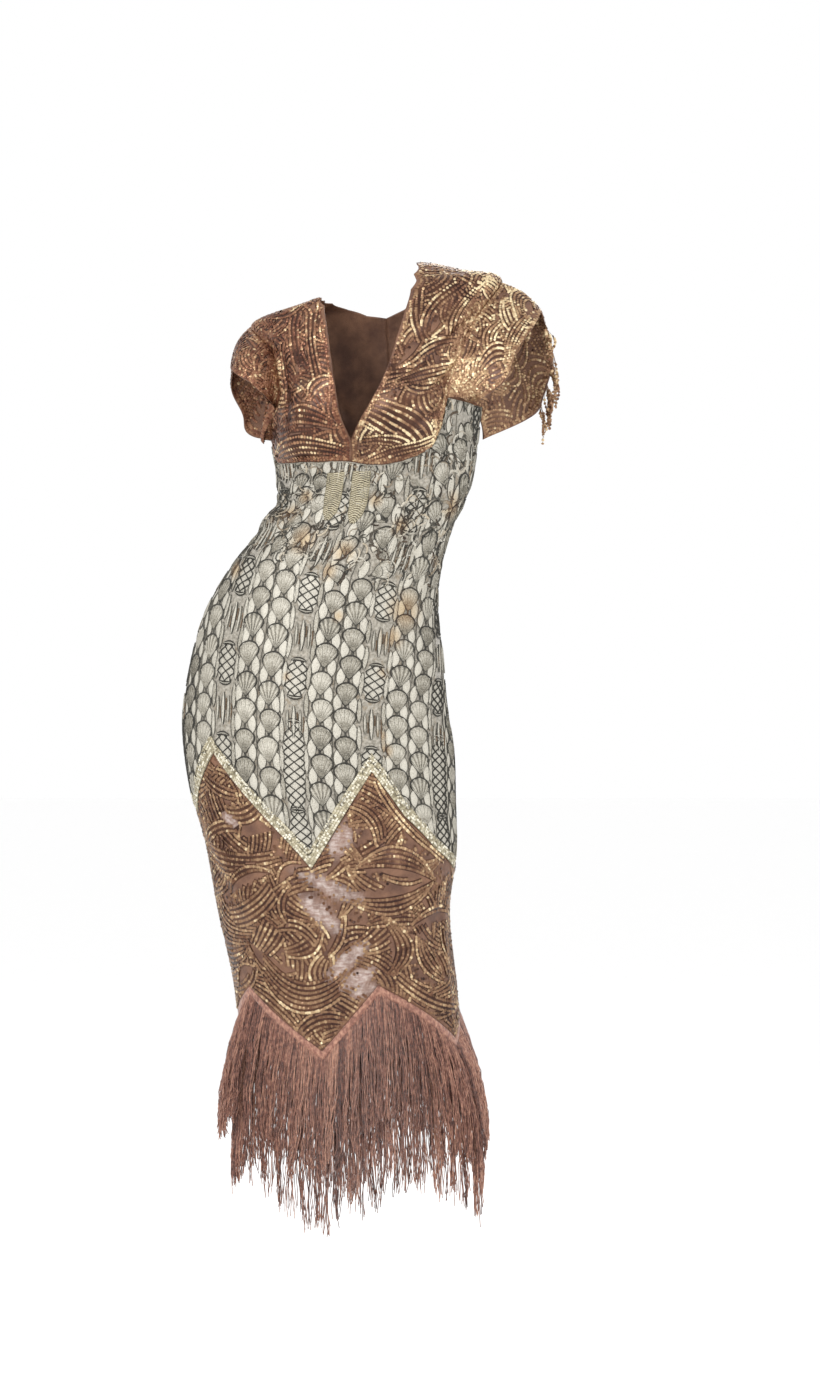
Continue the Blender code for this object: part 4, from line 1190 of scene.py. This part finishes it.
def sequin_finish(finish):
    tone, red = finish.attribute("tone"), finish.attribute("red")
    stops = [
        (0.0, shade(50, 29, 20)),
        (0.35, shade(104, 73, 52)),
        (0.65, shade(146, 117, 87)),
        (0.85, shade(186, 158, 120)),
        (1.0, shade(236, 218, 178)),
    ]
    red_stops = [
        (0.0, shade(52, 20, 12)),
        (0.4, shade(112, 66, 46)),
        (0.75, shade(156, 112, 82)),
        (1.0, shade(226, 198, 154)),
    ]
    # The slow blotches of paler and darker tone are painted reflection: patches where the sequins would catch
    # the light.
    level = tone + (finish.noise(34, 2).within(0.35, 0.65) - 0.5) * 0.22
    colour = finish.mix(red, finish.ramp(level, stops), finish.ramp(level, red_stops))
    finish.surface({"Base Color": colour, "Roughness": 0.32, "Metallic": 0.5})


copper_net = new_material("copper_net", net_finish)
sequins = new_material("gold_sequins", sequin_finish)
skirt_hem = hem_line(SKIRT_HEM)


def net_piece(node, places, outs, bare=0.0):
    """The net of one piece of cloth, from the grid of places on its outer side."""
    return new_piece(f"{node}_net", [wall(places, outs, bare=bare)], copper_net, node)


def streak_strength(ways, heights, streaks):
    """How strongly each place lies in a streak: 1 in the middle of one. Streaks mark bare net on the skirt
    and painted highlights on the bodice and sleeve.
    """
    bare = np.zeros(np.shape(ways))
    for streak in streaks:
        x, y = slanted(streak, ways, heights)
        away = np.hypot(2 * x / streak.length, 2 * y / streak.width)
        bare = np.maximum(bare, np.exp(-(away**4)))
    return bare


def skirt_bareness(turns, runs, middle, streaks):
    """How bare the net is over grids of turns and runs of one half of the skirt."""
    fine, row_runs = np.linspace(middle - 100, middle + 100, 201), np.linspace(runs.min(), runs.max(), 40)
    rows = (runs - row_runs[0]) / (row_runs[1] - row_runs[0])
    ways = read_grid(ways_round(fine, row_runs), rows, turns - fine[0])
    return streak_strength(ways, size_at("height", runs), streaks)


def on_skirt(flat, half):
    """Turns and runs of flat places, and which of them lie on the sequinned part of a half."""
    runs = run_of_section_height(flat[..., 1])
    turns = turns_at(flat[..., 0], runs, half.middle)
    below = runs > np.interp(turns, *fan_hem, period=360) + SKIRT_EDGE
    above = runs < np.interp(turns, *skirt_hem, period=360) - SKIRT_EDGE
    return np.stack([turns, runs]), below & above & (np.abs(turns - half.middle) < 90)


for half in HALVES:
    streaks, placed = (BARE_NET, SKIRT_LEAVES) if half.name == "front" else ([], [])
    grids = cloth_between(fan_hem[:, half.columns], skirt_hem[:, half.columns], CLOTH_TIMES, SKIRT_ROWS)
    bare = skirt_bareness(*grids, half.middle, streaks)
    skirt = net_piece(f"skirt_{half.name}", cloth(*grids), outward(*grids), bare)
    chance = np.random.default_rng(31 + half.middle)
    leaves = scattered_leaves(SKIRT_BOX, SKIRT_LEAF_PITCH, chance, SKIRT_LEAF_LENGTHS) + placed
    laid, tones, patches = sequins_in_leaves(leaves, SKIRT_BOX, SKIRT_FILL, chance)
    at, shown = on_skirt(laid, half)
    shown &= streak_strength(*laid.T, streaks) < chance.uniform(0.2, 0.95, len(shown))
    at, tones = at[:, shown], tones[shown] * SKIRT_DIM
    sizes = chance.uniform(*SEQUIN_SIZES, len(tones)) * SEQUIN
    points, faces = cups(cloth(*at, SKIRT_LIFT), outward(*at), sizes, SEQUIN_RISE, chance, SKIRT_TILT)
    # The dark strips of painted shade under the arcs, except over bare net.
    at, shown = on_skirt(patches, half)
    shown &= streak_strength(patches[..., 0], patches[..., 1], streaks) < 0.5
    dark = painted_shade_strips(cloth(*at[:, shown.all(axis=1)], SHADE_STRIP_LIFT))
    sewn = points, faces, {"tone": np.repeat(tones, CUP_POINTS), "red": 0.25}
    sequin_piece = new_piece(f"skirt_{half.name}_sequins", [sewn, dark], sequins)


# Bodice
# The bodice is the same sequinned net in four shaped quarters, cut to a deep V in front and seamed under the
# bust. Its sequins lie in smaller, closer arcs, redder and darker on the wearer's right front and paler gold
# on the left front; this difference between the fronts is painted light.
ARMHOLE_SEAM = [
    BUST_SEAM[-1],
    SeamPoint(54, -0.130),
    SeamPoint(59, -0.085),
    SeamPoint(71, -0.048),
    SeamPoint(90, -0.025),
]
RIGHT_ARMHOLE_SEAM = [
    RIGHT_BUST_SEAM[-1],
    SeamPoint(67, -0.188),
    SeamPoint(60, -0.165),
    SeamPoint(57, -0.130),
    SeamPoint(61, -0.085),
    SeamPoint(72, -0.048),
    SeamPoint(90, -0.025),
]
NeckPoint = namedtuple("NeckPoint", "height half_opening")
FRONT_NECK = [
    NeckPoint(0.005, 0.0655),
    NeckPoint(-0.009, 0.0625),
    NeckPoint(-0.020, 0.060),
    NeckPoint(-0.048, 0.055),
    NeckPoint(-0.078, 0.048),
    NeckPoint(-0.115, 0.040),
    NeckPoint(-0.147, 0.031),
    NeckPoint(-0.178, 0.020),
    NeckPoint(-0.204, 0.009),
    NeckPoint(-0.214, 0.0),
]
BACK_NECK = [
    NeckPoint(0.005, 0.0655),
    NeckPoint(-0.009, 0.061),
    NeckPoint(-0.020, 0.050),
    NeckPoint(-0.031, 0.031),
    NeckPoint(-0.037, 0.014),
    NeckPoint(-0.039, 0.0),
]
BODICE_ROWS, BODICE_COLUMNS = 84, 56
# Crease depth at which the painted shade in a trough, or painted highlight on a ridge, of the bodice sequins
# reaches its full strength
CREASE_DEPTH = 0.003
FINE_CREASE_WIDTH = 0.0125
EDGE = 0.0026
BODICE_LEAF_LENGTHS, BODICE_FILL = (0.045, 0.075), 2800
# How red and how gold a piece's sequins are, with the leaf groups placed one by one and the painted
# highlights, streaks where the sequins are painted paler as if the light caught them. Here their first two
# numbers are shares across and up the piece.
Cover = namedtuple("Cover", "red gold leaves gleams", defaults=([], []))
BODICE_COVERS = {
    # The right front's redder, darker sequins and the left front's paler gold are painted light.
    "right": Cover(
        0.85,
        -0.10,
        [
            Leaf(0.795, 0.554, 0.099, 0.008, 86, 3, 1.0),
            Leaf(0.598, 0.619, 0.083, 0.008, 79, 3, 1.0),
            Leaf(0.384, 0.464, 0.095, 0.008, 86, 2, 1.0),
            Leaf(0.640, 0.200, 0.070, 0.016, -3, 4, 0.6),
            Leaf(0.839, 0.345, 0.044, 0.012, 33, 3, 0.6),
            Leaf(0.562, 0.030, 0.100, 0.026, 9, 5, 0.7),
        ],
    ),
    "left": Cover(
        0.40,
        0.02,
        [
            Leaf(0.107, 0.661, 0.085, 0.008, 111, 3, 1.0),
            Leaf(0.268, 0.696, 0.060, 0.010, 68, 3, 1.0),
            Leaf(0.518, 0.667, 0.074, 0.011, 86, 4, 1.0),
            Leaf(0.446, 0.524, 0.060, 0.010, 17, 3, 1.0),
            Leaf(0.900, 0.420, 0.060, 0.014, 60, 4, 0.6),
            Leaf(0.860, 0.200, 0.070, 0.012, 80, 3, 1.0),
            Leaf(0.446, 0.369, 0.094, 0.018, 5, 4, 0.5),
            Leaf(0.366, 0.155, 0.112, 0.018, -44, 6, 1.0),
            Leaf(0.268, 0.095, 0.050, 0.012, -14, 3, 1.0),
            Leaf(0.420, 0.004, 0.100, 0.024, 0, 4, 0.6),
            Leaf(0.800, 0.660, 0.052, 0.036, 22, 5, 0.0, 0.85),
        ],
        [
            Streak(0.90, 0.27, 0.050, 0.022, 60),
            Streak(0.26, 0.20, 0.050, 0.012, -44),
            Streak(0.60, 0.13, 0.040, 0.010, -60),
            Streak(0.58, 0.76, 0.044, 0.014, 80),
            Streak(0.30, 0.50, 0.060, 0.012, 70),
            Streak(0.72, 0.88, 0.080, 0.060, 10),
        ],
    ),
}
BODICE_BACK_COVER = Cover(0.6, -0.06)


def by_length(line, cells):
    """The same seam line with its points evenly spaced along the cloth."""
    return at_ways(line, np.linspace(0, ways_along(line)[-1], cells + 1))


def neck_line(points):
    """From the centre line up the edge of the neck opening to the shoulder seam's neck end."""
    points = points[::-1]
    heights = np.linspace(points[0].height, points[-1].height, 61)
    opening = read_curve(column(points, "height"), column(points, "half_opening"), heights)
    runs = run_of_section_height(heights)
    turns = np.degrees(np.arcsin(np.clip(opening / size_at("half_width", runs), 0, 1)))
    turns[-1], runs[-1] = 90.0, 0.0
    return np.stack([turns, runs])


def bodice_grid(side, back):
    """Turns and runs over one quarter, between its bust seam, neck edge, shoulder seam and armhole."""
    right_front = side < 0 and not back
    bust = finer(seam_line(RIGHT_BUST_SEAM if right_front else BUST_SEAM, 8), BODICE_COLUMNS // 8)
    neck = np.hstack([bust[:, :1], neck_line(BACK_NECK if back else FRONT_NECK)])
    inner = finer(by_length(neck, 12), BODICE_ROWS // 12)
    arm = seam_line(RIGHT_ARMHOLE_SEAM if right_front else ARMHOLE_SEAM, 48)
    outer = finer(by_length(arm, 12), BODICE_ROWS // 12)
    shoulder_runs = np.linspace(0, RUNS[2], 13)
    shoulder = finer(by_length(np.stack([np.full(13, 90.0), shoulder_runs]), 8), BODICE_COLUMNS // 8)
    v, u = np.linspace(0, 1, BODICE_ROWS + 1)[:, None], np.linspace(0, 1, BODICE_COLUMNS + 1)
    turns, runs = (
        (1 - v) * bust[k] + v * shoulder[k] + (1 - u) * inner[k][:, None] + u * outer[k][:, None]
        - (1 - u) * (1 - v) * bust[k][0] - u * (1 - v) * bust[k][-1]
        - (1 - u) * v * shoulder[k][0] - u * v * shoulder[k][-1]
        for k in (0, 1)
    )
    turns = side * (180 - turns if back else turns)
    flipped = slice(None, None, -1) if (side < 0) != back else slice(None)
    return turns[:, flipped], runs[:, flipped]


def grid_normals(places):
    along, up = np.gradient(places, axis=1), np.gradient(places, axis=0)
    return unit(np.cross(along, up))


def sequinned(node, places, outs, creases, cover, lengths, fill, chance, inside=False):
    """Covers a grid of places with leaf groups of sequins, worked out on the flat and laid on the grid."""
    row_widths = np.linalg.norm(np.diff(places, axis=1), axis=-1).sum(1)
    width, length = row_widths.mean(), np.linalg.norm(np.diff(places, axis=0), axis=-1).sum(0).mean()
    box = ((-0.02, -0.02), (width + 0.02, length + 0.02))
    # The painted highlights are streaks in which the sequins' tone is raised.
    leaves, gleams = (
        [mark._replace(way=mark.way * width, height=mark.height * length) for mark in marks]
        for marks in (cover.leaves, cover.gleams)
    )
    leaves = scattered_leaves(box, sum(lengths) / 2 * 0.62, chance, lengths) + leaves
    laid, tones, patches = sequins_in_leaves(leaves, box, fill, chance)
    edges = [laid]
    ups, ways = np.arange(0, length, SEQUIN_STEP), np.arange(0, width, SEQUIN_STEP)
    for near in (EDGE * 1.1, EDGE * 2.2):
        edges += [np.stack(np.broadcast_arrays(way, ups), -1) for way in (near, width - near)]
        edges += [np.stack(np.broadcast_arrays(ways, up), -1) for up in (near, length - near)]
    laid, flat = np.vstack(edges), np.array([width, length])
    tones = np.append(tones, chance.uniform(0.3, 0.8, len(laid) - len(tones)))

    def on_grid(shares):
        """Which shares across and up lie clear of the edges, and how narrow the piece is there."""
        here = np.interp(shares[..., 1], np.linspace(0, 1, len(row_widths)), row_widths)
        side, end = EDGE / here, EDGE / length
        across, up = shares[..., 0], shares[..., 1]
        return (across > side) & (across < 1 - side) & (up > end) & (up < 1 - end), here / width

    def read_at(grid, laid):
        """What a grid over the piece says at places on the flat."""
        return read_grid(grid, *(laid / flat * (np.array(grid.shape[1::-1]) - 1)).T[::-1])

    shown, thin = on_grid(laid / flat)
    shown &= chance.uniform(0, 1, len(shown)) < np.clip(thin + 0.25, 0, 1)
    laid = laid[shown]
    # Painted light on the sequins: painted highlights in the listed streaks, painted shade in the troughs of
    # the fine creases and painted highlights on their ridges.
    light = streak_strength(*laid.T, gleams) * 0.35 + read_at(creases, laid) / CREASE_DEPTH * 0.34
    tones = np.clip(tones[shown] + cover.gold + light, 0, 1)
    normals, middles = unit(read_at(outs, laid)), read_at(places, laid)
    parts = []
    # The copy on a sleeve's inner side is dimmed to 0.9 of the tone, painted shade.
    for away, lift, dim in ((normals, 0, 1), (-normals, CLOTH_THICKNESS, 0.9))[: 1 + inside]:
        sizes = chance.uniform(*SEQUIN_SIZES, len(tones)) * SEQUIN * 0.95
        points, faces = cups(middles + away * (lift + SEQUIN_RISE), away, sizes, SEQUIN_RISE, chance, 0.16)
        parts.append((points, faces, {"tone": np.repeat(tones * dim, CUP_POINTS), "red": cover.red}))
    # Dark strips of painted shade under the arcs, where they lie clear of the edges.
    patches = patches[on_grid(patches / flat)[0].all(axis=1)].reshape(-1, 2)
    parts.append(painted_shade_strips(read_at(places, patches) + unit(read_at(outs, patches)) * SHADE_STRIP_LIFT))
    return new_piece(f"{node}_sequins", parts, sequins)


for word, side in SIDES.items():
    for back, half_name in ((False, "front"), (True, "back")):
        node = f"bodice_{half_name}_{word}"
        turns, runs = bodice_grid(side, back)
        places = cloth(turns, runs)
        quarter = net_piece(node, places, outward(turns, runs))
        # Heights of the fine creases, read only to paint shade into the troughs and highlights onto the
        # ridges of the sequins.
        creases = folded(turns, runs, [fold for fold in FOLDS if fold.width < FINE_CREASE_WIDTH])
        cover = BODICE_BACK_COVER if back else BODICE_COVERS[word]
        chance = np.random.default_rng(51 + side + 10 * back)
        sequin_piece = sequinned(
            node, places, grid_normals(places), creases, cover, BODICE_LEAF_LENGTHS, BODICE_FILL, chance
        )


# Flutter sleeves
# Each sleeve is one loose flounce of the sequinned net, sewn round the armhole and falling over the upper arm
# and down behind it. Loose threads with sequins on them hang from the left sleeve's lower back edge.
HemPoint = namedtuple("HemPoint", "share out ahead up")
LEFT_SLEEVE_HEM = [
    HemPoint(0.00, -0.048, 0.060, -0.172),
    HemPoint(0.12, -0.027, 0.080, -0.170),
    HemPoint(0.24, 0.001, 0.090, -0.147),
    HemPoint(0.35, 0.022, 0.080, -0.106),
    HemPoint(0.44, 0.041, 0.052, -0.070),
    HemPoint(0.52, 0.058, 0.012, -0.046),
    HemPoint(0.60, 0.069, -0.024, -0.080),
    HemPoint(0.68, 0.069, -0.050, -0.124),
    HemPoint(0.78, 0.061, -0.078, -0.162),
    HemPoint(0.89, 0.034, -0.100, -0.186),
    HemPoint(1.00, -0.023, -0.092, -0.212),
]
RIGHT_SLEEVE_HEM = [
    HemPoint(0.00, -0.017, 0.036, -0.166),
    HemPoint(0.14, -0.030, 0.074, -0.122),
    HemPoint(0.21, -0.020, 0.086, -0.104),
    HemPoint(0.30, -0.004, 0.090, -0.090),
    HemPoint(0.40, 0.014, 0.078, -0.078),
    HemPoint(0.48, 0.026, 0.048, -0.066),
    HemPoint(0.54, 0.032, 0.012, -0.062),
    HemPoint(0.61, 0.031, -0.028, -0.078),
    HemPoint(0.70, 0.024, -0.058, -0.105),
    HemPoint(0.80, 0.016, -0.073, -0.130),
    HemPoint(0.90, 0.002, -0.083, -0.148),
    HemPoint(1.00, -0.038, -0.080, -0.150),
]
SLEEVE_LIFT, SLEEVE_WAVES, SLEEVE_WAVE_DEPTH = 0.016, 5, 0.0035
SLEEVE_COLUMNS, SLEEVE_ROWS = 120, 40
SLEEVE_LEAF_LENGTHS, SLEEVE_FILL = (0.045, 0.07), 2600
# As on the fronts, the left sleeve's paler gold and the right sleeve's redder, darker sequins are painted
# light; the left sleeve's streaks are painted highlights.
LEFT_SLEEVE_COVER = Cover(
    0.35,
    0.09,
    [
        Leaf(0.12, 0.30, 0.060, 0.014, 10, 4, 0.6),
        Leaf(0.26, 0.40, 0.060, 0.012, -30, 4, 1.0),
        Leaf(0.36, 0.20, 0.070, 0.014, 12, 4, 0.6),
        Leaf(0.47, 0.35, 0.056, 0.034, 0, 5, 0.0, 0.85),
    ],
    [Streak(0.42, 0.10, 0.040, 0.012, 10), Streak(0.30, 0.45, 0.030, 0.010, 60)],
)
RIGHT_SLEEVE_COVER = Cover(0.85, -0.08)
THREADS, THREAD_TUFTS = 48, (0.57, 0.64, 0.665, 0.72, 0.79)


def sleeve_grid(side, hem_points):
    """Places over a sleeve, its hem the lowest row and its armhole seam the highest."""
    front = seam_line(ARMHOLE_SEAM if side > 0 else RIGHT_ARMHOLE_SEAM, 48)
    seam = np.hstack([front, turned(seam_line(ARMHOLE_SEAM, 48), -1, 180)[:, 1:]])
    seam = finer(by_length(seam, 20), SLEEVE_COLUMNS // 20)
    tip = form(np.array(side * 90.0), np.array(RUNS[2]))
    share = np.linspace(0, 1, SLEEVE_COLUMNS + 1)
    shares, *moves = (column(hem_points, field) for field in HemPoint._fields)
    out, ahead, up = (read_curve(shares, move, share) for move in moves)
    root = cloth(side * seam[0], seam[1])
    hem = tip + np.stack([side * out, -ahead, up], -1)
    away = (root + hem) / 2 - tip
    outs = unit(np.stack(np.broadcast_arrays(side, away[:, 1] * 6, 0.35), -1))
    bulge = root * 0.6 + hem * 0.4 + outs * SLEEVE_LIFT
    wave = np.sin(share * SLEEVE_WAVES * 2 * math.pi) * SLEEVE_WAVE_DEPTH
    t = np.linspace(1, 0, SLEEVE_ROWS + 1)[:, None, None]
    places = root * (1 - t) ** 2 + bulge * 2 * t * (1 - t) + hem * t**2 + outs * wave[:, None] * t**2
    return places if side > 0 else places[:, ::-1]


def strand_tubes(places, side, level, thickness):
    """Three-sided threads through rows of places, thinner towards their ends."""
    taper = np.linspace(1, 0.8, places.shape[1])[:, None]
    corners = []
    for angle in (90, 210, 330):
        away = side * math.cos(math.radians(angle)) + level * math.sin(math.radians(angle))
        corners.append(places + away[:, None] * taper * thickness)
    strands = np.stack(corners, 2)
    index = np.arange(strands[..., 0].size).reshape(strands.shape[:3])
    after = np.roll(index, -1, axis=2)
    faces = np.stack([index[:, :-1], index[:, 1:], after[:, 1:], after[:, :-1]], -1).reshape(-1, 4)
    return strands.reshape(-1, 3), faces


def loose_threads(edge, chance):
    """Threads pulled out of the sleeve's hem, with sequins still on their lower half."""
    share = chance.choice(THREAD_TUFTS, THREADS) + chance.normal(0, 0.006, THREADS)
    along = np.linspace(0, 1, len(edge))
    roots = np.stack([np.interp(share, along, edge[:, k]) for k in range(3)], -1)
    t = np.linspace(0, 1, 12)[None, :, None]
    reach, drop = chance.uniform(0.002, 0.007, (THREADS, 1, 1)), chance.uniform(0.02, 0.06, (THREADS, 1, 1))
    sway = chance.normal(0, 0.003, (THREADS, 1, 2))
    sway = sway * np.sin(t * math.pi * chance.uniform(0.8, 2.0, (THREADS, 1, 1)))
    places = roots[:, None] + [1.0, 0, 0] * reach * np.sin(t * 2.4) - [0, 0, 1.0] * drop * t
    places[..., :2] += sway
    tubes = strand_tubes(places, np.array([[1.0, 0, 0]]), np.array([[0, 1.0, 0]]), 0.0004)
    worn = places[:, 3:].reshape(-1, 3)
    points, faces = cups(worn, np.broadcast_to([0.3, -0.95, 0], worn.shape), SEQUIN, 0.0006, chance, 0.5)
    tones = np.repeat(chance.uniform(0.4, 0.9, len(worn)), CUP_POINTS)
    return [(*tubes, {"tone": 0.62, "red": 0.3}), (points, faces, {"tone": tones, "red": 0.4})]


for side, word, hem_points, cover in (
    (1, "left", LEFT_SLEEVE_HEM, LEFT_SLEEVE_COVER),
    (-1, "right", RIGHT_SLEEVE_HEM, RIGHT_SLEEVE_COVER),
):
    node = f"sleeve_{word}"
    places = sleeve_grid(side, hem_points)
    outs, flat = grid_normals(places), np.zeros(places.shape[:2])
    sleeve = net_piece(node, places, outs)
    chance = np.random.default_rng(71 + side)
    lengths, fill = SLEEVE_LEAF_LENGTHS, SLEEVE_FILL
    pieces = [sequinned(node, places, outs, flat, cover, lengths, fill, chance, inside=True)]
    if side > 0:
        threads = loose_threads(places[0], chance)
        pieces.append(new_piece(f"{node}_threads", threads, sequins))
    (0.48, 0.13) if side > 0 else (0.39, 0.11)
    0.035 if side > 0 else 0.023


# Fringe
# Two tiers of soft copper thread fringe. Each is knotted into a narrow woven tape, and both tapes are sewn
# one behind the other under the skirt's zigzag hem, so the longer tier shows below the shorter one.
STRIP_HEIGHT, SEAM_DROP = 0.012, 0.0006
Tier = namedtuple("Tier", "node length flare flare_left inset strands seed")
TIERS = [
    Tier("fringe_upper", 0.165, 0.033, 0.006, 0.0, 1200, 3),
    Tier("fringe_lower", 0.233, 0.022, 0.012, 0.0018, 800, 8),
]
STRAND_ROWS, STRAND_THICKNESS, CLUMP_PITCH = 15, 0.0008, 0.009


def fringe_finish(finish):
    tone = finish.attribute("tone")
    fleck = finish.noise(260, 3, (1.0, 1.0, 0.7)).within(0.3, 0.7)
    level = tone * 0.55 + fleck * 0.45
    stops = [(0.15, shade(70, 40, 33)), (0.5, shade(138, 92, 76)), (0.85, shade(192, 144, 120))]
    sockets = {"Base Color": finish.ramp(level, stops), "Roughness": 0.55, "Sheen Weight": 0.25}
    finish.surface(sockets, fleck, 0.0005)


thread = new_material("copper_thread", fringe_finish)


def strand_places(tier, chance):
    """Places down every strand: wavy, drawn together in clumps at the ends, longer and shorter by turns."""
    line = finer(hem_line(SKIRT_HEM, SEAM_DROP + STRIP_HEIGHT * 0.9), 10)
    share = (np.arange(tier.strands) + chance.uniform(0, 1, tier.strands)) / tier.strands
    at = share * ways_along(line)[-1]
    turns, runs = at_ways(line, at)
    outs = outward(turns, runs)
    roots = cloth(turns, runs) - outs * (tier.inset + 0.0006 + chance.uniform(0, 0.0006, (tier.strands, 1)))
    level = unit(outs * [1, 1, 0])
    side = np.stack([-level[:, 1], level[:, 0], 0 * level[:, 0]], -1)
    clump = np.floor(at / CLUMP_PITCH + 0.3 + 0.3 * np.sin(at * 190)).astype(int)
    shift = chance.normal(0, 1, (clump.max() + 2, 3))[clump]
    middle = (np.bincount(clump, at) / np.maximum(np.bincount(clump), 1))[clump]
    long = tier.length * (0.965 + 0.04 * shift[:, 0] + chance.normal(0, 0.03, tier.strands))
    long = np.minimum(long, tier.length * 1.06)
    spread = tier.flare + tier.flare_left * np.sin(np.radians(turns))
    t = np.linspace(0, 1, STRAND_ROWS)[None, :, None]
    bend = 1 - (1 - t) ** 1.9
    places = roots[:, None] + level[:, None] * spread[:, None, None] * bend
    places = places - np.array([0, 0, 1.0]) * long[:, None, None] * t
    full_wave = 6.28
    clump_phase, clump_sway = full_wave * shift[:, 1], 0.0040 * shift[:, 2]
    phase = chance.uniform(0, full_wave, (2, tier.strands, 1, 1)) * 0.4 + clump_phase[:, None, None]
    own = chance.normal(0, 0.0028, (tier.strands, 1, 1)) * t**1.5
    sway = 0.0017 * np.sin(t * 14 + phase[0]) * t**0.5 + clump_sway[:, None, None] * t**2 + own
    kinks = chance.normal(0, 0.0006, (2, tier.strands, STRAND_ROWS, 1)) * (0.5 + t)
    sway = sway + kinks[0]
    gather = (middle - at)[:, None, None] * 0.45 * t**1.4
    waver = 0.0016 * np.sin(t * 17 + phase[1]) * t**0.5 + kinks[1]
    return places + side[:, None] * (sway + gather) + level[:, None] * waver, side, level, clump


for tier in TIERS:
    chance = np.random.default_rng(tier.seed)
    places, side, level, clump = strand_places(tier, chance)
    strands, strand_faces = strand_tubes(places, side, level, STRAND_THICKNESS)
    clump_tones = chance.normal(0.5, 0.16, clump.max() + 1)[clump]
    tones = np.clip(clump_tones + chance.normal(0, 0.22, tier.strands), 0, 1)
    strip = [finer(hem_line(SKIRT_HEM, SEAM_DROP + STRIP_HEIGHT * k), 6) for k in (1, 0.66, 0.33, 0)]
    strip = np.stack(strip, axis=1)
    outs = outward(*strip)
    new_piece(
        f"{tier.node}_threads",
        [
            wall(cloth(*strip) - outs * tier.inset, outs, tone=0.62),
            (strands, strand_faces, {"tone": np.repeat(tones, 3 * STRAND_ROWS)}),
        ],
        thread,
        tier.node,
    )
